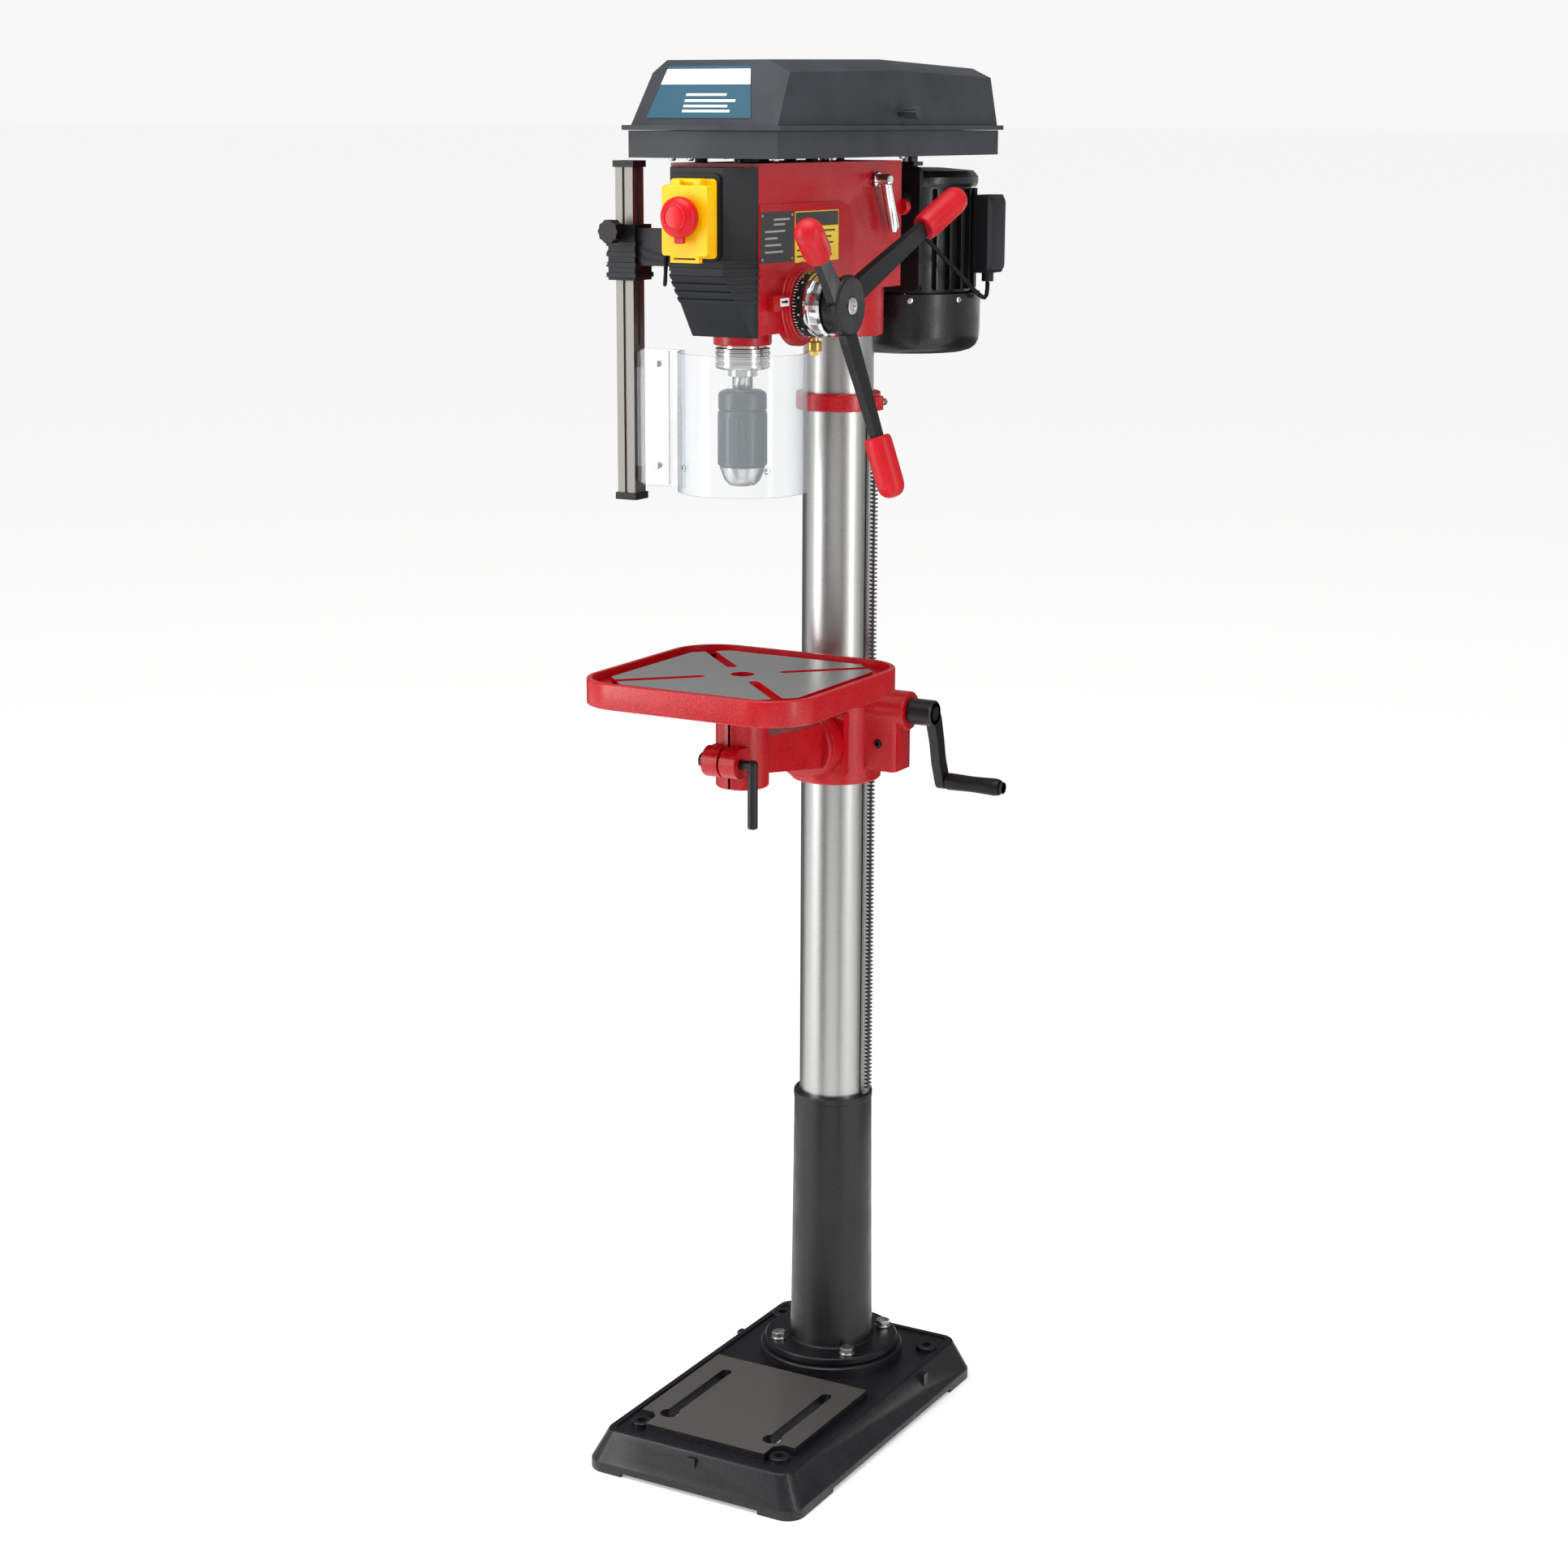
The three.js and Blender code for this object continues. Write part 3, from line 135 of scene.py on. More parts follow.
# Gloss paint over sand-cast iron: pebbled skin, painted shade (deeper red) in the hollows of the pebbling, broken
# highlights.
def castingPaint(name, light, deep, rough, pebble):
    material, tree, shader, place = startMaterial(name, {"Roughness": rough, "IOR": 1.5, "Coat Weight": 0.12, "Specular IOR Level": 0.35,
                                                         "Coat Roughness": 0.16})
    grain = noise(tree, place, pebble, 4.0)
    broad = noise(tree, place, 40, 2.0)
    # painted shade: the low points of the pebble noise, which are the hollows of the bump, get the deeper colour
    hollowShade = spread(tree, grain, 0.0, 1.0, 0.38, 0.6)
    tree.links.new(blendColours(tree, hollowShade, deep, light), shader.inputs["Base Color"])
    tree.links.new(spread(tree, broad, rough - 0.07, rough + 0.1), shader.inputs["Roughness"])
    soft = addBump(tree, shader, broad, 0.5, 0.35)
    addBump(tree, shader, grain, 0.28, 0.75, soft)
    return material


# Moulded plastic: even colour, fine spark-eroded grain, faint flow of gloss.
def mouldedPlastic(name, light, deep, rough, grainSize, depth):
    material, tree, shader, place = startMaterial(name, {"Roughness": rough, "IOR": 1.47,
                                                         "Specular IOR Level": 0.28})
    grain = noise(tree, place, grainSize, 2.0)
    broad = noise(tree, place, 60, 2.0)
    tree.links.new(blendColours(tree, spread(tree, broad, 0.0, 1.0), deep, light), shader.inputs["Base Color"])
    tree.links.new(spread(tree, grain, rough - 0.05, rough + 0.07), shader.inputs["Roughness"])
    addBump(tree, shader, grain, depth, 0.6)
    return material


# Ground or turned metal: fine lines along one direction, each a shade lighter or darker and duller.
def groundMetal(name, light, deep, rough, lineStretch, lineSize=1.2, depth=0.02):
    material, tree, shader, place = startMaterial(name, {"Metallic": 1.0, "Roughness": rough})
    lines = noise(tree, place, lineSize, 3.0, lineStretch)
    tree.links.new(blendColours(tree, spread(tree, lines, 0.0, 1.0), deep, light), shader.inputs["Base Color"])
    tree.links.new(spread(tree, lines, rough - 0.05, rough + 0.06), shader.inputs["Roughness"])
    addBump(tree, shader, lines, depth, 0.5)
    return material


# Plated steel: mirror bright with a little haze.
def platedSteel(name, colour, rough):
    material, tree, shader, place = startMaterial(name, {"Metallic": 1.0, "Roughness": rough,
                                                         "Base Color": hexColour(colour)})
    haze = noise(tree, place, 12, 3.0)
    tree.links.new(spread(tree, haze, rough, rough + 0.08), shader.inputs["Roughness"])
    return material


# Printed vinyl or foil: flat colour under a thin gloss film.
def printedFoil(name, colour, rough=0.35):
    material, tree, shader, place = startMaterial(name, {"Base Color": hexColour(colour), "Roughness": rough})
    ripple = noise(tree, place, 14, 2.0)
    addBump(tree, shader, ripple, 0.08, 0.3)
    return material


# Clear polycarbonate: sees through, with a painted reflection at the rims (darker grey and more opaque where seen
# edge-on), hair scratches.
def clearPolycarbonate(name):
    material, tree, shader, place = startMaterial(name, {"Base Color": hexColour("#D5DCDF"), "Roughness": 0.03,
                                                         "IOR": 1.58, "Alpha": 0.2})
    scratches = noise(tree, place, 2.0, 2.0, (1.0, 1.0, 0.15))
    tree.links.new(spread(tree, scratches, 0.02, 0.09), shader.inputs["Roughness"])
    # painted reflection: colour and opacity follow the viewing angle, growing greyer and more opaque towards the
    # edge-on rims
    rim = addNode(tree, "ShaderNodeLayerWeight", values={"Blend": 0.35}).outputs["Facing"]
    tree.links.new(spread(tree, rim, 0.14, 0.9, 0.2, 0.95), shader.inputs["Alpha"])
    tree.links.new(blendColours(tree, spread(tree, rim, 0.0, 1.0, 0.2, 0.85), "#D5DCDF", "#76848B"),
                   shader.inputs["Base Color"])
    return material


paint = {
    "red": castingPaint("glossRedCastingPaint", "#BE0412", "#90030E", 0.32, 1.6),
    "redSmooth": castingPaint("glossRedPaintOnTurnedSteel", "#BA0614", "#9A0510", 0.27, 3.0),
    "baseBlack": castingPaint("satinBlackCastingPaint", "#15171A", "#0A0B0D", 0.42, 2.2),
    "black": castingPaint("satinBlackSteelPaint", "#111316", "#090A0C", 0.38, 2.0),
    "motorBlack": castingPaint("blackMotorEnamel", "#0F1113", "#08090A", 0.3, 3.0),
}
plastic = {
    "nose": mouldedPlastic("blackAbsNoseCover", "#14171A", "#0E1013", 0.46, 0.8, 0.05),
    "cover": mouldedPlastic("darkGreyAbsBeltCover", "#35393D", "#2C2F33", 0.5, 0.9, 0.05),
    "black": mouldedPlastic("blackNylon", "#101214", "#0A0B0D", 0.42, 0.8, 0.04),
    "grip": mouldedPlastic("redMouldedGrip", "#C01420", "#B00E19", 0.36, 1.2, 0.03),
    "stop": mouldedPlastic("redPushButtonPlastic", "#C90C1B", "#B90716", 0.3, 1.0, 0.02),
    "yellow": mouldedPlastic("yellowSwitchPlastic", "#FFC400", "#F2B400", 0.36, 1.0, 0.03),
    "green": mouldedPlastic("greenKeyPlastic", "#1E8C42", "#177436", 0.36, 1.0, 0.02),
    "rubber": mouldedPlastic("blackRubber", "#141516", "#0C0D0E", 0.75, 1.5, 0.06),
}
metal = {
    "column": groundMetal("groundColumnSteel", "#B2B2B0", "#A4A4A2", 0.33, (1.0, 1.0, 14.0), 6.0),
    "machined": groundMetal("faceMilledIron", "#C9C9C8", "#A9AAA9", 0.34, (1.0, 9.0, 1.0), 3.0),
    "pad": groundMetal("darkOiledIron", "#A09E99", "#8A8883", 0.45, (9.0, 1.0, 1.0), 3.0),
    "turned": groundMetal("turnedBrightSteel", "#CFCFCE", "#B4B4B3", 0.2, (1.0, 1.0, 10.0), 2.0),
    "post": groundMetal("brushedAluminiumTube", "#7C7B77", "#6A6965", 0.46, (1.0, 1.0, 0.04), 0.9),
    "chuck": groundMetal("blackenedChuckSteel", "#414950", "#30373D", 0.34, (1.0, 1.0, 8.0), 1.5),
    "chrome": platedSteel("chromePlate", "#DEDEDF", 0.06),
    "brass": platedSteel("yellowPassivatedScrew", "#B79A54", 0.26),
    "zinc": platedSteel("brightZincScrew", "#C9CAC8", 0.24),
    "alloy": groundMetal("turnedPulleyAlloy", "#C4C5C6", "#A8A9AA", 0.3, (1.0, 1.0, 8.0), 1.5),
    "rack": groundMetal("milledRackSteel", "#B0B0AE", "#8E8E8C", 0.34, (1.0, 1.0, 6.0), 2.0),
}
foil = {
    "teal": printedFoil("tealLabelFoil", "#084A60", 0.5),
    "white": printedFoil("whiteLabelFoil", "#E9E9E6"),
    "grey": printedFoil("darkGreyPlateFoil", "#2A2B2C", 0.4),
    "silver": printedFoil("silverPrintFoil", "#9A9B9B", 0.4),
    "yellow": printedFoil("yellowLabelFoil", "#E6C21C"),
}
clearPlastic = clearPolycarbonate("clearPolycarbonateScreen")
print("materials made")


# ---- shapes, in millimetres


def slab(x0, x1, y0, y1, z0, z1):
    shape = bmesh.new()
    bmesh.ops.create_cube(shape, size=1.0)
    bmesh.ops.scale(shape, vec=(x1 - x0, y1 - y0, z1 - z0), verts=shape.verts)
    bmesh.ops.translate(shape, vec=((x0 + x1) / 2, (y0 + y1) / 2, (z0 + z1) / 2), verts=shape.verts)
    return shape


def aimAt(shape, axis, u, v):  # from the Z axis to the wanted one, through (u, v)
    if axis == "x":
        bmesh.ops.rotate(shape, cent=(0, 0, 0), matrix=Matrix.Rotation(math.pi / 2, 3, "Y"), verts=shape.verts)
    if axis == "y":
        bmesh.ops.rotate(shape, cent=(0, 0, 0), matrix=Matrix.Rotation(-math.pi / 2, 3, "X"), verts=shape.verts)
    place = {"x": (0, u, v), "y": (u, 0, v), "z": (u, v, 0)}[axis]
    bmesh.ops.translate(shape, vec=place, verts=shape.verts)
    return shape


def turned(profile, axis="z", u=0.0, v=0.0, steps=64, closed=False):  # profile of (radius, place on the axis)
    shape = bmesh.new()
    points = [shape.verts.new((r, 0, a)) for r, a in profile]
    edges = [shape.edges.new(pair) for pair in zip(points, points[1:])]
    if closed:
        edges.append(shape.edges.new((points[-1], points[0])))
    bmesh.ops.spin(shape, geom=points + edges, cent=(0, 0, 0), axis=(0, 0, 1), dvec=(0, 0, 0),
                   angle=2 * math.pi, steps=steps, use_merge=True, use_duplicate=False)
    bmesh.ops.remove_doubles(shape, verts=shape.verts, dist=0.0004)
    bmesh.ops.recalc_face_normals(shape, faces=shape.faces)
    return aimAt(shape, axis, u, v)


def rod(radius, low, high, axis="z", u=0.0, v=0.0, steps=48, edge=0.0):
    if edge:
        profile = [(0, low), (radius - edge, low), (radius, low + edge), (radius, high - edge),
                   (radius - edge, high), (0, high)]
    else:
        profile = [(0, low), (radius, low), (radius, high), (0, high)]
    return turned(profile, axis, u, v, steps)


def sheetOf(outline, low, high, axis="z"):  # a flat outline given thickness along the axis
    shape = bmesh.new()
    toSpace = {"x": lambda p, a: (a, p[0], p[1]), "y": lambda p, a: (p[0], a, p[1]), "z": lambda p, a: (p[0], p[1], a)}
    face = shape.faces.new([shape.verts.new(toSpace[axis](p, low)) for p in outline])
    raised = bmesh.ops.extrude_face_region(shape, geom=[face])["geom"]
    lift = Vector(toSpace[axis]((0, 0), high - low))
    bmesh.ops.translate(shape, vec=lift, verts=[g for g in raised if isinstance(g, bmesh.types.BMVert)])
    bmesh.ops.recalc_face_normals(shape, faces=shape.faces)
    return shape


def roundedPlate(u0, u1, v0, v1, radius, low, high, axis="z", segments=8):
    shape = sheetOf([(u0, v0), (u1, v0), (u1, v1), (u0, v1)], low, high, axis)
    along = {"x": 0, "y": 1, "z": 2}[axis]
    corners = [e for e in shape.edges if abs(e.verts[0].co[along] - e.verts[1].co[along]) > 1e-4]
    bmesh.ops.bevel(shape, geom=corners, offset=radius, affect="EDGES", segments=segments, profile=0.5, material=-1)
    return shape


def roundedOutline(x0, x1, y0, y1, radius, steps=10):
    points = []
    corners = [(x1 - radius, y1 - radius, 0), (x0 + radius, y1 - radius, 90), (x0 + radius, y0 + radius, 180),
               (x1 - radius, y0 + radius, 270)]
    for cx, cy, start in corners:
        for i in range(steps + 1):
            turn = math.radians(start + 90 * i / steps)
            points.append((cx + radius * math.cos(turn), cy + radius * math.sin(turn)))
    return points


def loft(levels):  # closed skin through outlines of equal count, each given with its height
    shape = bmesh.new()
    rows = [[shape.verts.new((x, y, z)) for x, y in outline] for outline, z in levels]
    for low, high in zip(rows, rows[1:]):
        for i in range(len(low)):
            j = (i + 1) % len(low)
            shape.faces.new((low[i], low[j], high[j], high[i]))
    shape.faces.new(rows[0])
    shape.faces.new(rows[-1])
    bmesh.ops.recalc_face_normals(shape, faces=shape.faces)
    return shape


def patchOn(surface, corners, lift, columns=28, rows=14):  # thin film laid along +Y on a surface, corners (x, z)
    tree = BVHTree.FromBMesh(surface)
    shape = bmesh.new()
    grid = []
    for j in range(rows + 1):
        for i in range(columns + 1):
            a, b = i / columns, j / rows
            low = [corners[0][k] * (1 - a) + corners[1][k] * a for k in (0, 1)]
            high = [corners[3][k] * (1 - a) + corners[2][k] * a for k in (0, 1)]
            x, z = [low[k] * (1 - b) + high[k] * b for k in (0, 1)]
            hit = tree.ray_cast(Vector((x, -900, z)), Vector((0, 1, 0)))
            grid.append(shape.verts.new(hit[0] + hit[1] * lift))
    faces = []
    for j in range(rows):
        for i in range(columns):
            k = j * (columns + 1) + i
            faces.append(shape.faces.new((grid[k], grid[k + 1], grid[k + columns + 2], grid[k + columns + 1])))
    raised = bmesh.ops.extrude_face_region(shape, geom=faces)["geom"]
    bmesh.ops.translate(shape, vec=(0, -0.25, 0.1), verts=[g for g in raised if isinstance(g, bmesh.types.BMVert)])
    bmesh.ops.recalc_face_normals(shape, faces=shape.faces)
    return shape


def join(first, *others):
    for other in others:
        carrier = bpy.data.meshes.new("carrier")
        other.to_mesh(carrier)
        other.free()
        first.from_mesh(carrier)
        bpy.data.meshes.remove(carrier)
    return first


def copyOf(shape):
    return shape.copy()


def moved(shape, matrix):
    bmesh.ops.transform(shape, matrix=matrix, verts=shape.verts)
    return shape


def looseObject(shape, name):
    mesh = bpy.data.meshes.new(name)
    shape.to_mesh(mesh)
    shape.free()
    thing = bpy.data.objects.new(name, mesh)
    bpy.context.scene.collection.objects.link(thing)
    return thing


def combined(shape, tools, operation="DIFFERENCE"):  # boolean of closed shapes
    base = looseObject(shape, "base")
    for tool in tools:
        other = looseObject(tool, "tool")
        modifier = base.modifiers.new("cut", "BOOLEAN")
        modifier.operation = operation
        modifier.solver = "EXACT"
        modifier.object = other
        bpy.context.view_layer.update()
        made = bpy.data.meshes.new_from_object(base.evaluated_get(bpy.context.evaluated_depsgraph_get()))
        base.modifiers.clear()
        old = base.data
        base.data = made
        bpy.data.meshes.remove(old)
        bpy.data.objects.remove(other)
    result = bmesh.new()
    result.from_mesh(base.data)
    bpy.data.objects.remove(base)
    bmesh.ops.remove_doubles(result, verts=result.verts, dist=0.002)
    return result


def showPiece(name, shape, material, body, stands=(), smooth=32, edge=0.0, segments=2, choose=None):
    bmesh.ops.scale(shape, vec=(0.001, 0.001, 0.001), verts=shape.verts)
    mesh = bpy.data.meshes.new(name)
    shape.to_mesh(mesh)
    shape.free()
    for look in (material if isinstance(material, (list, tuple)) else [material]):
        mesh.materials.append(look)
    for polygon in mesh.polygons:
        polygon.use_smooth = True
        if choose:
            polygon.material_index = choose(polygon.center * 1000, polygon.normal)
    mesh.set_sharp_from_angle(angle=math.radians(smooth))
    piece = bpy.data.objects.new(name, mesh)
    bpy.context.scene.collection.objects.link(piece)
    if edge:
        rounding = piece.modifiers.new("edges", "BEVEL")
        rounding.width = edge / 1000
        rounding.segments = segments
        rounding.limit_method = "ANGLE"
        rounding.angle_limit = math.radians(smooth)
        rounding.harden_normals = True
    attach(piece, body)
    if stands:
        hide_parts(*stands)
    return piece


def cleanCopy(node):  # a node's mesh, merged and in millimetres
    shape = bmesh.new()
    shape.from_mesh(cadNodes[node].data)
    bmesh.ops.scale(shape, vec=(1000, 1000, 1000), verts=shape.verts)
    bmesh.ops.remove_doubles(shape, verts=shape.verts, dist=0.01)
    bmesh.ops.dissolve_limit(shape, angle_limit=math.radians(0.6), use_dissolve_boundaries=False,
                             verts=shape.verts, edges=shape.edges)
    return shape


def finished(node, material, edge=0.8, smooth=32, segments=2, choose=None, extra=(), cuts=()):
    shape = cleanCopy(node)
    if cuts:
        shape = combined(shape, cuts)
    shape = join(shape, *extra)
    return showPiece(node + "_skin", shape, material, cadNodes[node]["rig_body"], (node,),
                     smooth, edge, segments, choose)


# ---- column, foot and base

screwValues = {"steps": 20}


def hexHead(x, y, z, across, height, turn=0.0):  # hexagon head with its chamfered crown
    shape = bmesh.new()
    bmesh.ops.create_circle(shape, cap_ends=True, segments=6, radius=across / math.sqrt(3))
    bmesh.ops.rotate(shape, cent=(0, 0, 0), matrix=Matrix.Rotation(turn, 3, "Z"), verts=shape.verts)
    top = bmesh.ops.extrude_face_region(shape, geom=shape.faces[:])["geom"]
    bmesh.ops.translate(shape, vec=(0, 0, height), verts=[g for g in top if isinstance(g, bmesh.types.BMVert)])
    bmesh.ops.recalc_face_normals(shape, faces=shape.faces)
    crown = turned([(0, -1), (across * 0.5, -1), (across * 0.62, height - 1.2), (across * 0.45, height + 0.01),
                    (0, height + 0.01)], steps=36)
    shape = combined(shape, [crown], "INTERSECT")
    bmesh.ops.translate(shape, vec=(x, y, z), verts=shape.verts)
    return shape


def panHead(radius, height, slotWidth=1.0):  # crossed-slot pan head standing on z 0
    dome = [(0, -0.4), (radius, -0.4), (radius, height * 0.35), (radius * 0.9, height * 0.75),
            (radius * 0.6, height * 0.97), (0, height)]
    shape = turned(dome, steps=screwValues["steps"])
    reach = radius * 0.55
    arms = [slab(-reach, reach, -slotWidth / 2, slotWidth / 2, height * 0.45, height + 1),
            slab(-slotWidth / 2, slotWidth / 2, -reach, reach, height * 0.45, height + 1)]
    return combined(shape, arms)


def facing(direction, place, turn=0.0):  # matrix that stands a shape on a face looking that way
    spin = Vector(direction).to_track_quat("Z", "Y").to_matrix().to_4x4()
    return Matrix.Translation(place) @ spin @ Matrix.Rotation(turn, 4, "Z")


def screwSet(name, places, direction, radius, height, material, body, slotWidth=1.0):
    master = panHead(radius, height, slotWidth)
    heads = [moved(copyOf(master), facing(direction, place, 0.4 + i)) for i, place in enumerate(places)]
    master.free()
    return showPiece(name, join(*heads), material, body)


columnValues = {"radius": 40.0, "bore": 34.0, "foot": 34.0, "top": 1405.0, "sleeveTop": 384.0, "flangeTop": 69.3,
                "flangeRadius": 80.4, "boltCircle": 66.0}


def makeColumn():
    v = columnValues
    tube = turned([(v["bore"], v["foot"]), (v["radius"], v["foot"]), (v["radius"], v["top"]), (v["bore"], v["top"])],
                  steps=96, closed=True)
    showPiece("column_ground_tube", tube, metal["column"], "base", ("column_tube",))
    bore, low, high = v["radius"] + 0.3, v["flangeTop"] - 10, v["sleeveTop"]
    foot = turned([(bore, low), (78.6, low), (v["flangeRadius"], low + 1.6), (v["flangeRadius"], low + 8.2),
                   (79.2, low + 9.6), (77, low + 10), (53, low + 10), (50.8, low + 11.5), (50.3, low + 15),
                   (49, low + 50), (46.2, high - 9), (46.9, high - 8), (46.9, high - 2), (45.6, high), (bore, high)],
                  steps=96, closed=True)
    setScrew = rod(3.2, -49, -43, "x", 0, 311, 20)
    showPiece("column_flanged_foot", join(foot, setScrew), paint["black"], "base", ("column_foot",))
    for i in range(4):
        turn = math.pi / 4 + i * math.pi / 2
        x, y = v["boltCircle"] * math.cos(turn), v["boltCircle"] * math.sin(turn)
        washer = turned([(4.5, 0.15), (9.2, 0.15), (9.5, 0.5), (9.5, 1.4), (9.2, 1.8), (4.5, 1.8)], "z", x, y, 36, True)
        bmesh.ops.translate(washer, vec=(0, 0, v["flangeTop"]), verts=washer.verts)
        head = hexHead(x, y, v["flangeTop"] + 1.8, 15.6, 6.6, 0.3 + i)
        shank = rod(4.9, 36, v["flangeTop"] + 2, "z", x, y, 24)
        showPiece(f"flange_bolt_head_{i + 1}", join(washer, head, shank), metal["zinc"], "base",
                  (f"flange_bolt_{i + 1}",), edge=0.25)


rackValues = {"inside": 40.4, "root": 45.2, "tip": 49.0, "half": 6.5, "pitch": 4.71}


def makeRack():
    v = rackValues
    low, high = boxOf("height_rack")
    shape = slab(v["inside"], v["root"], -v["half"], v["half"], low.z, high.z)
    tooth = sheetOf([(v["root"] - 0.4, 0.5), (v["tip"], 1.55), (v["tip"], 2.65), (v["root"] - 0.4, 3.7)],
                    -v["half"], v["half"], "y")
    count = int((high.z - low.z - 10) / v["pitch"])
    teeth = []
    for i in range(count):
        teeth.append(moved(copyOf(tooth), Matrix.Translation((0, 0, low.z + 5 + i * v["pitch"]))))
    tooth.free()
    showPiece("toothed_rack_strip", join(shape, *teeth), metal["rack"], "rack", ("height_rack",))


def makeCollar():
    low, high = boxOf("rack_collar")
    ringShape = turned([(40.3, low.z), (46.8, low.z), (48, low.z + 1.4), (48, high.z - 1.4), (46.8, high.z),
                        (40.3, high.z)], steps=96, closed=True)
    lug = roundedPlate(44, 54, -9, 9, 2.5, low.z + 0.4, high.z - 4)
    screw = rod(2.5, 9, 15, "y", 51, low.z + 9, 20, 0.4)
    showPiece("rack_collar_ring", join(ringShape, lug), paint["redSmooth"], "base", ("rack_collar",),
              edge=0.5)
    showPiece("rack_collar_screw", join(screw, rod(4.2, 11.5, 15.5, "y", 51, low.z + 9, 6)), metal["zinc"], "base")


baseValues = {"half": 138.8, "front": -339.0, "back": 115.2, "height": 48.0, "padTop": 55.2, "wall": 7.0}


def makeBase():
    v = baseValues

    def level(inset, radius, z):
        outline = roundedOutline(-v["half"] + inset, v["half"] - inset, v["front"] + inset * 0.73,
                                 v["back"] - inset * 0.61, radius)
        return outline, z

    top = v["height"]
    body = loft([level(0.6, 21.6, 0), level(0, 22, 0.8), level(0, 22, 11.4), level(0.3, 22, 12.6),
                 level(1.2, 21.6, 13.8), level(17.6, 16.4, top - 2.4), level(18.4, 16, top - 1.0), level(19.6, 15.6, top - 0.2),
                 level(20.8, 15, top)])
    inner = loft([level(7, 18, -2), level(7, 18, 12), level(26, 12, top - 8)])
    recess = loft([(roundedOutline(-112, 112, -318, 96, 12), top - 2.4),
                   (roundedOutline(-113.2, 113.2, -319.2, 97.2, 13), top + 1)])
    gaps = [slab(-90, 90, v["front"] - 2, v["front"] + 30, -1, 5), slab(-90, 90, v["back"] - 30, v["back"] + 2, -1, 5),
            slab(-v["half"] - 1, -v["half"] + 30, -250, 50, -1, 5),
            slab(v["half"] - 30, v["half"] + 1, -250, 50, -1, 5)]
    body = combined(body, [inner, recess, *gaps])
    outline = [(101.4, -99), (-101.4, -99), (-101.4, -273), (-86, -273), (-78, -281), (-78, -302.5), (78, -302.5),
               (78, -281), (86, -273), (101.4, -273)]
    pad = sheetOf(outline, top - 8, v["padTop"])
    ribs = [slab(-5, 5, -332, 110, 8, top - 5), slab(-130, 130, -5, 5, 8, top - 5)]
    bosses = [rod(12, top - 8, 51.5, "z", side * 91, -290, 48, 1.0) for side in (-1, 1)]
    bosses += [rod(13, top - 8, 51.5, "z", side * 100.6, 59, 48, 1.0) for side in (-1, 1)]
    boss = rod(86, top - 8, columnValues["flangeTop"] - 10.3, "z", 0, 0, 96, 1.6)
    body = combined(body, [pad, *ribs, *bosses, boss, rod(22, 0, top - 5, "z", 0, 0, 48)], "UNION")
    holes = []
    for side in (-1, 1):
        holes.append(roundedPlate(side * 68 - 6.5, side * 68 + 6.5, -272.5, -131.5, 6.4, -2, 70))
        holes.append(rod(11, -2, 70, "z", side * 68, -266, 48))
        holes.append(rod(5.5, -2, 70, "z", side * 91, -290, 32))
        holes.append(rod(5.5, -2, 70, "z", side * 100.6, 59, 32))
    holes.append(rod(40.3, 34, 70, "z", 0, 0, 96))
    for i in range(4):
        turn = math.pi / 4 + i * math.pi / 2
        holes.append(rod(5.2, 36, 70, "z", 66 * math.cos(turn), 66 * math.sin(turn), 24))
    body = combined(body, holes)
    isPad = lambda c, n: 1 if abs(c.z - v["padTop"]) < 0.4 and n.z > 0.9 else 0
    showPiece("cast_base_plate", body, [paint["baseBlack"], metal["pad"]], "base", ("base_casting",), 34,
              0.9, 3, isPad)


makeColumn()
makeRack()
makeCollar()
makeBase()
print("column and base made")


# ---- table, its arm and its carrier

tableValues = {"half": 138.0, "corner": 55.0, "rimTop": 926.2, "rimDepth": 28.0, "centreY": -216.0, "rim": 6.0,
               "plateau": 116.0, "cornerCut": 32.0, "slotWidth": 12.0}


def diagonalSlot(index, low, high, grow=0.0):  # a slot from near the middle out to a corner
    v = tableValues
    half = v["slotWidth"] / 2 + grow
    shape = roundedPlate(48 - half, 132 + half, -half, half, half * 0.98, low, high)
    bmesh.ops.rotate(shape, cent=(0, 0, 0), matrix=Matrix.Rotation(math.pi / 4 + index * math.pi / 2, 3, "Z"),
                     verts=shape.verts)
    bmesh.ops.translate(shape, vec=(0, v["centreY"], 0), verts=shape.verts)
    return shape


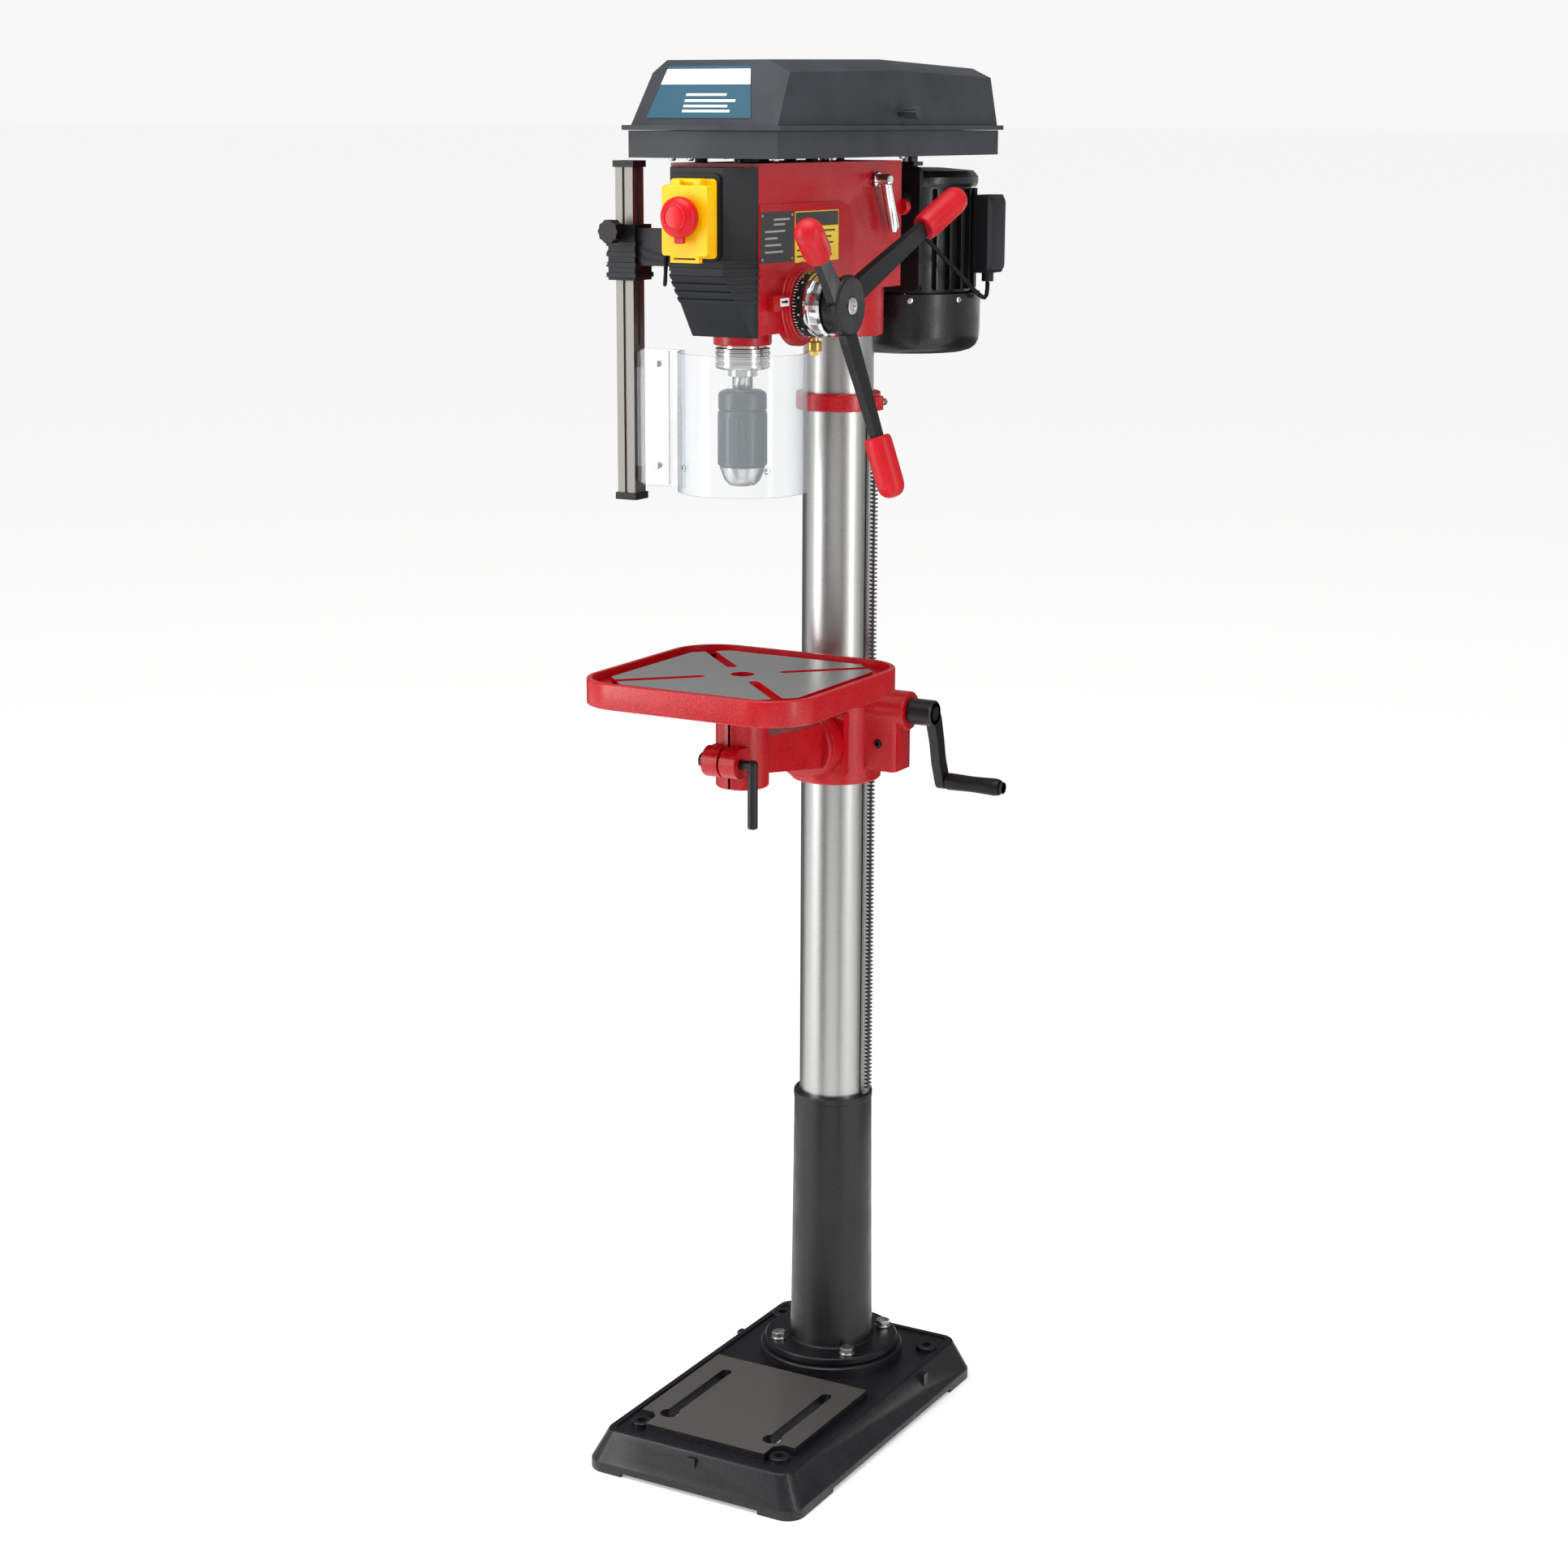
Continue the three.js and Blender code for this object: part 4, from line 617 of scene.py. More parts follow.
def makeTable():
    v = tableValues
    y, top = v["centreY"], v["rimTop"]
    low = top - v["rimDepth"]

    def square(half, corner, z0, z1):
        return roundedPlate(-half, half, y - half, y + half, corner, z0, z1, "z", 14)

    body = square(v["half"], v["corner"], low, top)
    bmesh.ops.bevel(body, geom=[e for e in body.edges if abs(e.verts[0].co.z - e.verts[1].co.z) < 1e-4], offset=1.6,
                    affect="EDGES", segments=3, profile=0.5, material=-1)
    half, cut = v["plateau"], v["plateau"] - v["cornerCut"]
    plateau = sheetOf([(x, y + w) for x, w in [(half, -cut), (half, cut), (cut, half), (-cut, half), (-half, cut),
                                               (-half, -cut), (-cut, -half), (cut, -half)]], top - 12, top - 3)
    under = square(v["half"] - 9, 46, low - 1, low + 10)
    body = combined(body, [square(v["half"] - v["rim"], v["corner"] - v["rim"], top - 10, top + 5), under])
    ribs = [slab(-4, 4, y - 133, y + 133, low + 1, low + 14), slab(-133, 133, y - 4, y + 4, low + 1, low + 14)]
    hub = turned([(0, low - 9.2), (35, low - 9.2), (36, low - 8.2), (36, low + 14), (0, low + 14)], "z", 0, y, 64)
    post = rod(20, 808, low + 5, "z", 0, y, 64, 1)
    body = combined(body, [plateau, *ribs, hub, post], "UNION")
    cuts = [diagonalSlot(i, low - 1, 940) for i in range(4)] + [rod(13, 780, 940, "z", 0, y, 48)]
    for i in range(4):
        notch = slab(120, 156, -v["slotWidth"] / 2, v["slotWidth"] / 2, top - 9.9, top + 1)
        turn = Matrix.Rotation(math.pi / 4 + i * math.pi / 2, 4, "Z")
        cuts.append(moved(notch, Matrix.Translation((0, y, 0)) @ turn))
    body = combined(body, cuts)
    isTop = lambda c, n: 1 if abs(c.z - (top - 3)) < 0.3 and n.z > 0.9 else 0
    showPiece("table_plate", body, [paint["red"], metal["machined"]], "table", ("work_table",), 34, 0.5,
              choose=isTop)


def makeArm():
    y = tableValues["centreY"]
    boss = turned([(20.6, 798.7), (27.6, 798.7), (29.3, 800.4), (29.3, 886.6), (27.6, 888.3), (20.6, 888.3)], "z", 0, y,
                  64, True)
    boss = combined(boss, [slab(-1.3, 1.3, y - 70, y, 780, 900)])
    flange = turned([(8.4, -82.3), (35.4, -82.3), (37.3, -80.4), (37.3, -73.6), (36.6, -72.6), (8.4, -72.6)], "y", 0, 816,
                    64, True)
    finished("table_arm", paint["red"], 2.0, 34, 3, None, [boss, flange])
    low, high = boxOf("table_clamp_lever")
    lever = rod(5.6, 762, 832, "z", 36, y - 40, 32, 1.2)
    elbow = turned([(0, -6.5), (4, -5.6), (5.7, -3), (5.7, 3), (4, 5.6), (0, 6.5)], "z", 36, y - 40, 32)
    bmesh.ops.translate(elbow, vec=(0, 0, 832), verts=elbow.verts)
    arm = rod(5.4, 22, 36, "x", y - 40, 832, 32)
    screw = rod(4.9, -28, 24, "x", y - 40, 832, 32)
    nut = moved(hexHead(0, 0, 0, 14.6, 7.4), facing((-1, 0, 0), (-21.6, y - 40, 832)))
    showPiece("table_clamp_handle", join(lever, elbow, arm, screw, nut), paint["black"], "table_clamp",
              ("table_clamp_lever",), edge=0.3)


def makeCarrier():
    barrel = turned([(40.8, 766.8), (50.6, 766.8), (52.8, 769), (52.8, 857), (50.6, 859.2), (40.8, 859.2)], "z", 0, 0, 96,
                    True)
    gap = slab(38, 49.6, -7, 7, 760, 905)
    split = slab(-1.2, 1.2, 38, 80, 760, 905)
    boss = turned([(8.5, 60), (21, 60), (22.2, 61.2), (22.2, 95.8), (20.9, 97.2), (8.5, 97.2)], "x", 0, 854, 56, True)
    nose = turned([(9, -71.8), (36.6, -71.8), (37.3, -71.1), (37.3, -52), (9, -52)], "y", 0, 816, 64, True)
    finished("table_bracket", paint["red"], 2.0, 34, 3, None, [combined(barrel, [gap, split]), boss, nose])
    showPiece("carrier_set_screw", turned([(2.2, -22.6), (3.6, -22.6), (4.4, -22), (4.4, -16.6), (0, -16.6), (0, -18.6), (2.2, -18.6)], "y",
                                         66, 816, 24),
              paint["black"], "bracket")


crankValues = {"hubRadius": 15.0, "hub": (97.6, 129.0), "shaftZ": 854.0, "pin": (31.0, 769.0), "gripEnd": 202.0}


def makeCrank():
    v = crankValues
    hub = turned([(0, v["hub"][0]), (13, v["hub"][0]), (15, v["hub"][0] + 2), (15, v["hub"][1] - 2),
                  (13, v["hub"][1]), (8, v["hub"][1]), (7, v["hub"][1] - 1.2), (0, v["hub"][1] - 1.2)], "x", 0,
                 v["shaftZ"], 56)
    y, z = v["pin"]
    eye = turned([(0, 118), (8.4, 118), (9.4, 119), (9.4, 128), (8.4, 129), (0, 129)], "x", y, z, 40)
    pin = rod(4.5, 125, 199, "x", y, z, 24)
    flare = rod(7, 198, v["gripEnd"], "x", y, z, 32, 1)
    finished("lift_crank", paint["black"], 2.4, 34, 3, None, [hub, eye, pin, flare])
    grip = turned([(4.8, 129.6), (8.6, 129.6), (9.6, 131), (10, 134), (9.5, 150), (9.2, 162), (9.6, 178), (10.1, 190),
                   (9.6, 195), (8.5, 197.4), (4.8, 197.4)], "x", y, z, 40, True)
    showPiece("crank_handle_grip", grip, plastic["black"], "crank_handle", ("crank_grip",))


def makeColumnLock():
    lever = rod(4.4, 812, 872, "z", -27, 64, 28, 0.6)
    ball = turned([(0, 866), (5, 867), (8.4, 870.6), (9.6, 875.6), (8.4, 881), (5, 885), (0, 886)], "z", -27, 64, 36)
    hub = rod(9, -32, -17.6, "x", 64, 814, 36, 1.2)
    screw = rod(4.9, -40, 19, "x", 64, 814, 24)
    nut = moved(hexHead(0, 0, 0, 14.6, 4.4), facing((1, 0, 0), (17.6, 64, 814)))
    showPiece("carrier_lock_handle", join(lever, ball, hub, screw, nut), paint["black"], "lock",
              ("column_lock",), edge=0.3)


makeTable()
makeArm()
makeCarrier()
makeCrank()
makeColumnLock()
print("table made")


# ---- head casting, nose cover and switch

headValues = {"half": 52.6, "feedY": -184.0, "feedZ": 1322.4, "panelFace": 54.2, "quillY": -216.0}


def makeHead():
    v = headValues
    y, z = v["feedY"], v["feedZ"]
    boss = turned([(11.4, 44), (42.6, 44), (44.2, 45.5), (44.2, 54), (42.8, 55.2), (38.2, 55.6), (37.3, 56.6),
                   (37.3, 58.8), (35.8, 60.3), (11.4, 60.3)], "x", y, z, 72, True)
    clampRing = turned([(40.6, 1277.8), (49, 1277.8), (50.2, 1279), (50.2, 1334), (40.6, 1334)], "z", 0, 0, 72, True)
    clampRing = combined(clampRing, [slab(-1.2, 1.2, 36, 70, 1270, 1340)])
    quillRing = turned([(24.8, 1279.8), (30, 1279.8), (31.2, 1281.2), (31.2, 1320), (24.8, 1320)], "z", 0, v["quillY"], 64,
                       True)
    pointer = roundedPlate(-256, -222, z - 4, z + 12, 2.5, 50, 60.5, "x")
    lug = turned([(0, 48), (8.6, 48), (9.4, 49), (9.4, 56.2), (8.4, 57.2), (0, 57.2)], "y", 51, 1418, 32)
    finished("head_casting", paint["red"], 2.2, 34, 3, None, [boss, clampRing, quillRing, pointer, lug])
    plate = roundedPlate(-242, -224, z + 0.5, z + 9, 1.0, 60.3, 61.2, "x")
    showPiece("depth_pointer_plate", plate, foil["white"], "base", edge=0.15)
    mark = roundedPlate(-240, -230, z + 4, z + 6.2, 0.6, 61.1, 61.45, "x")
    tip = sheetOf([(-231, z + 3), (-225.6, z + 5.1), (-231, z + 7.2)], 61.1, 61.45, "x")
    showPiece("depth_pointer_mark", join(mark, tip), foil["grey"], "base")
    under = join(rod(8.4, 1267, 1277.8, "z", 30, -112, 32, 1.0), rod(5.5, 1262.4, 1268, "z", 30, -112, 6, 0.4),
                 rod(5, 1276, 1300, "z", 30, -112, 24))
    showPiece("head_lock_screw", under, metal["brass"], "base", edge=0.2)


def makeHeadTrim():
    v = headValues
    x = v["panelFace"]
    plate = roundedPlate(-272.5, -203, 1368, 1420, 1.5, x - 0.1, x + 0.45, "x")
    showPiece("rating_plate", plate, foil["grey"], "base")
    rivets = [(x + 0.4, yy, zz) for yy in (-269, -206.5) for zz in (1371.5, 1416.5)]
    screwSet("rating_plate_rivets", rivets, (1, 0, 0), 1.7, 0.9, metal["zinc"], "base", 0.5)
    # plain bars stand for printed lines
    bars = [roundedPlate(y0, y1, z, z + 2.0, 0.8, x + 0.35, x + 0.62, "x") for y0, y1, z in
            [(-246, -212, 1411), (-246, -222, 1406), (-264, -222, 1399), (-264, -238, 1392), (-264, -230, 1385),
             (-264, -226, 1378)]]
    showPiece("rating_plate_bars", join(*bars), foil["silver"], "base")
    caution = roundedPlate(-200, -104, 1366, 1419, 1.5, x - 0.1, x + 0.45, "x")
    showPiece("plain_notice_label", caution, foil["yellow"], "base")
    band = roundedPlate(-199, -105, 1403, 1418, 1.0, x + 0.35, x + 0.6, "x")
    showPiece("plain_notice_band", band, foil["grey"], "base")
    bars = [roundedPlate(-196, -196 + w, 1397 - i * 6.4, 1398.8 - i * 6.4, 0.8, x + 0.35, x + 0.6, "x")
            for i, w in enumerate([84, 76, 80, 62, 78])]
    showPiece("plain_notice_bars", join(*bars), foil["grey"], "base")


def makeNose():
    low, high = boxOf("front_cover")
    finished("front_cover", plastic["nose"], 1.0, 28, 3)


def makeSwitch():
    finished("switch_body", plastic["yellow"], 1.2, 32, 3)
    screwSet("switch_panel_screw", [(0, -318.4, 1450.6)], (0, -1, 0), 2.4, 1.4, metal["zinc"], "base", 0.8)
    finished("start_key", plastic["green"], 0.9, 32, 3)
    finished("off_key", plastic["stop"], 0.9, 32, 3)
    finished("switch_flap", plastic["yellow"], 0.9, 32, 3)
    cap = turned([(0, -354.5), (9, -354.2), (15, -352.8), (18.6, -350.4), (20.6, -347.2), (21, -344), (20.6, -340),
                  (19.2, -338.6), (9, -338.5), (8, -337), (8, -324), (0, -324)], "y", 0, 1416, 72)
    tab = roundedPlate(-5.5, 5.5, 1389.5, 1402, 2.2, -345.5, -340.5, "y")
    arrowRing = turned([(11.6, -354.2), (12.6, -354.35), (13.6, -353.6), (12.6, -353.2)], "y", 0, 1416, 72, True)
    showPiece("stop_button_head", join(cap, tab, arrowRing), plastic["stop"], "stop_head",
              ("stop_button",), edge=0.4)


makeHead()
makeHeadTrim()
makeNose()
makeSwitch()
print("head made")


# ---- belt cover, belts and pulleys

coverValues = {"edge": 2.4, "trayEdge": 1.2}


def makeCover():
    finished("belt_tray", plastic["cover"], 1.1, 30, 3)
    finished("belt_lid", plastic["cover"], 1.8, 24, 4)
    surface = cleanCopy("belt_lid")
    label = patchOn(surface, [(-69, 1514), (56, 1514), (42, 1566), (-55, 1566)], 0.35)
    showPiece("lid_label", label, foil["teal"], "lid")
    band = patchOn(surface, [(-60, 1547.5), (47, 1547.5), (43, 1563), (-56, 1563)], 0.7, 28, 6)
    showPiece("lid_label_band", band, foil["white"], "lid")
    lines = [patchOn(surface, [(-26, z), (-26 + w, z), (-26 + w, z + 2.4), (-26, z + 2.4)], 0.7, 12, 2)
             for z, w in ((1536, 48), (1530, 60), (1524.6, 52), (1519.6, 56))]
    showPiece("lid_label_bars", join(*lines), foil["white"], "lid")
    surface.free()
    places = [(-43, -286, 1473.9), (-20, -288, 1473.9), (66, -262, 1473.9), (66, -138, 1473.9), (66, 22, 1473.9),
              (-66, -138, 1473.9), (-66, 22, 1473.9)]
    screwSet("tray_underside_screws", places, (0, 0, -1), 3.6, 3.0, metal["zinc"], "base", 0.9)


def pulleyProfile(radii, bore, hubLow, hubRadius):
    step, base = 15.0, 1483.0
    profile = [(bore, hubLow), (hubRadius, hubLow), (hubRadius, base)]
    for i, r in enumerate(radii):
        z = base + i * step
        profile += [(r - 0.6, z + (0.4 if i == 0 else 1.2)), (r, z + 1.0 + (0 if i == 0 else 0.8)), (r, z + 1.8),
                    (r - 6, z + 4.8), (r - 6, z + 8.4), (r, z + 11.6), (r, z + 12.0), (r - 0.5, z + 12.4)]
        if i + 1 < len(radii):
            profile.append((min(r, radii[i + 1]) - 0.8, z + 13.4))
    top = base + len(radii) * step - 1
    return profile + [(radii[-1] - 9, top - 1.6), (22, top - 1.6), (20, top), (bore, top)]


def makePulleys():
    for name, y, radii, bore, hubLow, body, node in [
            ("front", -216, [62, 54, 44], 9.3, 1479, "front_pulley", "spindle_pulley"),
            ("middle", -34, [44, 54, 62], 8.4, 1482, "middle_pulley", "idler_pulley"),
            ("motor", 172, [30, 37, 43], 9.3, 1479, "rotor", "motor_pulley")]:
        hubRadius = 16 if name == "motor" else 20
        shape = turned(pulleyProfile(radii, bore, hubLow, hubRadius), "z", 0, y, 80, True)
        showPiece(f"{name}_step_pulley", shape, metal["alloy"], body, (node,), 28)
    for node in ("front_belt", "rear_belt"):
        finished(node, plastic["rubber"], 0.4, 30, 2)
    finished("idler_post", metal["turned"], 0.4, 32)


makeCover()
makePulleys()
print("belt cover made")


# ---- motor, its bracket, slide bars and tension lever


def makeMotor():
    y = 172
    cover = turned([(82, 1317.6), (84, 1317.6), (84, 1270), (83, 1262), (79.4, 1255.4), (74, 1251.4), (66, 1249),
                    (22, 1249), (22, 1251.5), (65, 1251.5), (73, 1254), (78, 1258), (81, 1264), (82, 1270)], "z", 0, y,
                   96, True)
    vents = []
    for ringRadius, count in ((34, 10), (46, 14), (58, 18)):
        for i in range(count):
            turn = 2 * math.pi * i / count
            vents.append(rod(3.4, 1246, 1253, "z", ringRadius * math.cos(turn), y + ringRadius * math.sin(turn), 12))
    cover = combined(cover, [join(*vents)])
    showPiece("motor_fan_cover", cover, paint["motorBlack"], "motor", ("fan_cover",), edge=0.3)
    finished("motor_housing", paint["motorBlack"], 0.8, 32, 2)
    finished("terminal_box", plastic["nose"], 2.0, 32, 3)
    finished("motor_bracket", paint["black"], 0.9, 32, 2)
    finished("motor_rotor", metal["turned"], 0.4, 32)
    for i, x in ((1, -34), (2, 34)):
        low, high = boxOf(f"slide_bar_{i}")
        bar = rod(7, low.y, high.y, "y", x, 1425, 48, 0.8)
        showPiece(f"motor_slide_bar_{i}", bar, metal["turned"], "motor", (f"slide_bar_{i}",))
    finished("tension_lever", metal["chrome"], 0.8, 40, 3)
    label = sheetOf([(84.0 * math.cos(t), 84.0 * math.sin(t)) for t in [math.radians(28 + i * 1.6) for i in range(16)]]
                    + [(84.5 * math.cos(t), 84.5 * math.sin(t)) for t in [math.radians(52 - i * 1.6) for i in range(16)]],
                    1272, 1306)
    bmesh.ops.translate(label, vec=(0, y, 0), verts=label.verts)
    showPiece("motor_blank_label", label, foil["white"], "motor")
    places = [(84.0 * math.cos(math.radians(a)), y + 84.0 * math.sin(math.radians(a)), 1311) for a in (-62, -20, 22, 64)]
    heads = []
    for place in places:
        out = (place[0], place[1] - y, 0)
        heads.append(moved(panHead(3.8, 2.4, 0.9), facing(out, place, 0.5)))
    showPiece("fan_cover_screws", join(*heads), metal["zinc"], "motor")
    bolts = []
    for x, z in ((-40, 1340), (40, 1340), (-40, 1436), (40, 1436)):
        bolts.append(moved(hexHead(0, 0, 0, 11, 5.4), facing((0, -1, 0), (x, y - 81, z))))
    showPiece("motor_plate_bolts", join(*bolts), metal["zinc"], "motor", edge=0.2)


makeMotor()
print("motor made")


# ---- feed handles, depth ring, quill, spindle and chuck

feedValues = {"y": -184.0, "z": 1322.4, "phase": -1.12, "tilt": 0.292, "rootX": 99.0}


def armMatrix(index):  # across, through and along each arm
    v = feedValues
    turn = v["phase"] + index * 2 * math.pi / 3
    out = Vector((math.sin(v["tilt"]), math.sin(turn) * math.cos(v["tilt"]), math.cos(turn) * math.cos(v["tilt"])))
    across = Vector((0, math.cos(turn), -math.sin(turn)))
    up = across.cross(out)
    matrix = Matrix((across, up, out)).transposed().to_4x4()
    matrix.translation = (v["rootX"], v["y"], v["z"])
    return matrix


def makeFeed():
    v = feedValues
    y, z = v["y"], v["z"]
    depth = turned([(10.5, 60.5), (32.6, 60.5), (34, 61.6), (34, 70.8), (32.6, 72), (10.5, 72)], "x", y, z, 96, True)
    showPiece("depth_scale_ring", depth, plastic["black"], "depth_scale", ("depth_ring",))
    ticks = []
    for i in range(60):
        turn = i * math.pi / 30
        length = 4.6 if i % 5 == 0 else 2.6
        bar = roundedPlate(61.4, 61.4 + length, -0.42, 0.42, 0.3, 33.7, 34.16, "z", 3)
        ticks.append(moved(bar, Matrix.Translation((0, y, z)) @ Matrix.Rotation(turn, 4, "X")))
    for i in range(12):
        turn = (i + 0.5) * math.pi / 6
        digit = turned([(0.6, 33.7), (1.15, 33.7), (1.15, 34.16), (0.6, 34.16)], "z", 68.2, 0, 16, True)
        ticks.append(moved(digit, Matrix.Translation((0, y, z)) @ Matrix.Rotation(turn, 4, "X")))
    showPiece("depth_scale_marks", join(*ticks), foil["white"], "depth_scale")
    stop = turned([(10.5, 72.5), (32.6, 72.5), (34.2, 73.6), (34.5, 75), (34.5, 78.4), (34, 79.6), (32.6, 80.2),
                   (32.6, 81.6), (33.4, 82.6), (33.4, 88.6), (31.4, 91.5), (10.5, 91.5)], "x", y, z, 96, True)
    showPiece("chrome_stop_ring", stop, metal["chrome"], "feed", ("stop_ring",))
    for i in range(3):
        finished(f"feed_arm_{i + 1}", paint["black"], 1.6, 30, 3)
        grip = turned([(0, 143), (12.4, 143), (14, 144.4), (14.8, 148), (15, 154), (15, 192), (14.6, 198), (13, 203),
                       (10, 206.8), (5.4, 209), (0, 209.6)], steps=56)
        showPiece(f"feed_grip_skin_{i + 1}", moved(grip, armMatrix(i)), plastic["grip"], "feed",
                  (f"feed_grip_{i + 1}",))
    disc = turned([(10, 105.2), (31, 105.2), (32.4, 106.4), (32.4, 111.4), (31.4, 113.4), (29.4, 114.4), (10, 114.4)], "x",
                  y, z, 80, True)
    finished("feed_hub", paint["black"], 0.8, 30, 2, None, [disc])
    screw = turned([(0, 113), (9.4, 113), (9.4, 115.2), (8.6, 116.1), (4.6, 116.4), (4.2, 115.2), (0, 115.2)], "x", y, z, 48)
    showPiece("hub_centre_screw", combined(screw, [slab(114.6, 118, y - 5.4, y + 5.4, z - 1, z + 1)]), metal["zinc"], "feed",
              edge=0.15)
    finished("feed_shaft", metal["turned"], 0.4, 30)
    cap = turned([(0, -78), (24, -78), (26.8, -77.2), (28, -75.6), (28, -60.4), (12, -60.4), (12, -69), (0, -69)], "x",
                 y, z, 72)
    showPiece("return_spring_cap", cap, plastic["black"], "base", ("spring_cap",))


def makeSpindle():
    y = -216
    quill = [(9.5, 1254), (24, 1254), (27.6, 1255), (29.3, 1257)]
    for i in range(3):
        top = 1257 + i * 6
        quill += [(29.3, top + 3.2), (28, top + 3.8), (28, top + 5.2), (29.3, top + 6)]
    quill += [(29.3, 1276.2), (27.6, 1277), (24, 1277), (24, 1418), (9.5, 1418)]
    showPiece("quill_ground_sleeve", turned(quill, "z", 0, y, 80, True), metal["turned"], "quill_slide",
              ("quill",))
    finished("spindle", metal["turned"], 0.3, 30)
    body = turned([(0, 1134), (6.5, 1130.4), (12, 1130), (14, 1130.6), (19.6, 1136.4), (24, 1148.4), (24.2, 1150.4),
                   (23.4, 1151), (20, 1151), (20, 1211), (24.6, 1211), (26, 1212.4), (26, 1226.6), (24.6, 1229.6),
                   (20, 1232), (0, 1232)], "z", 0, y, 80)
    jawSlots = []
    for i in range(3):
        turn = i * 2 * math.pi / 3 + 0.3
        slot = slab(-2.2, 2.2, 4, 16, 1126, 1142)
        jawSlots.append(moved(slot, Matrix.Translation((0, y, 0)) @ Matrix.Rotation(turn, 4, "Z")))
    body = combined(body, [rod(6.5, 1120, 1160, "z", 0, y, 48), *jawSlots])
    isNose = lambda c, n: 1 if c.z < 1150.5 else 0
    showPiece("chuck_inner_body", body, [metal["chuck"], metal["alloy"]], "drill_spindle",
              ("chuck_body",), 30, 0.25, choose=isNose)
    sleeve = turned([(20.4, 1151.6), (25.2, 1151.6), (26.6, 1153), (26.6, 1207), (25.2, 1210.2), (20.4, 1210.2)], "z",
                    0, y, 96, True)
    flutes = []
    for i in range(24):
        turn = 2 * math.pi * i / 24
        flutes.append(rod(1.5, 1157, 1203, "z", 27.2 * math.cos(turn), y + 27.2 * math.sin(turn), 16))
    sleeve = combined(sleeve, [join(*flutes)])
    showPiece("chuck_fluted_sleeve", sleeve, metal["chuck"], "chuck_collar", ("chuck_sleeve",), 30, 0.25)


makeFeed()
makeSpindle()
print("feed and spindle made")


# ---- chuck guard and its post, and the two leads


def makeGuard():
    isCap = lambda c, n: 1 if (c.z > 1463 or c.z < 1114.6) and abs(c.x + 138) < 13.2 and abs(c.y + 220) < 13.2 else 0
    grooves = [slab(-139.4, -136.6, -233, -230.2, 1115, 1462.8)]
    grooves += [slab(-151, -148.2, -221.4, -218.6, 1115, 1462.8), slab(-139.4, -136.6, -209.8, -207, 1115, 1462.8)]
    finished("guard_post", [metal["post"], plastic["black"]], 0.5, 32, 2, isCap, (), grooves)
    finished("guard_bracket", plastic["nose"], 1.0, 32, 2)
    finished("guard_knob", plastic["black"], 0.9, 32, 2)
    marks = [slab(-156.8, -155.2, -238.9, -238.4, z, z + 1.6) for z in (1360.6, 1373.5, 1385.5)]
    marks += [slab(-156.9, -156.4, -238.9, -226, z, z + 1.6) for z in (1360.6, 1373.5, 1385.5)]
    showPiece("bracket_height_marks", join(*marks), foil["white"], "base")
    finished("guard_screen", clearPlastic, 0.4, 32, 2)
    places = [(-100, -227.6, 1256), (-100, -227.6, 1146)]
    screwSet("screen_flange_screws", places, (0, -1, 0), 3.6, 2.2, metal["zinc"], "screen", 0.9)
    rear = [moved(hexHead(0, 0, 0, 6.4, 2.6), facing((0, 1, 0), (x, -224.4, z))) for x, _, z in places]
    showPiece("screen_flange_nuts", join(*rear), metal["zinc"], "screen", edge=0.15)
    strip = roundedPlate(-121.4, -84, 1126, 1270, 1.5, -227.9, -227.55, "y")
    showPiece("screen_flange_strip", strip, clearPlastic, "screen")
    # painted reflection: a thin silver line along the clear strip's inner edge stands for the light caught by that edge
    edge = roundedPlate(-85.4, -84.0, 1126, 1270, 0.5, -228.0, -227.5, "y")
    showPiece("screen_flange_edge_reflection", edge, foil["silver"], "screen")
    across = []
    for turn in (238, 322):
        a = math.radians(turn)
        out = (math.cos(a), math.sin(a), 0)
        across.append(moved(panHead(3.4, 2.0, 0.9), facing(out, (70 * out[0], -216 + 70 * out[1], 1152))))
    showPiece("screen_lower_screws", join(*across), metal["zinc"], "screen")


def makeLeads():
    for node in ("interlock_cable", "motor_lead"):
        finished(node, plastic["rubber"], 0.0, 80)


makeGuard()
makeLeads()
print("guard made")


# ---- floor, light and camera

stageValues = {"floorSize": 900.0, "lens": 65.74, "place": (1.5429, -2.872, 1.5149), "azimuth": 29.3, "tilt": 13.1,
               "roll": 0.2}


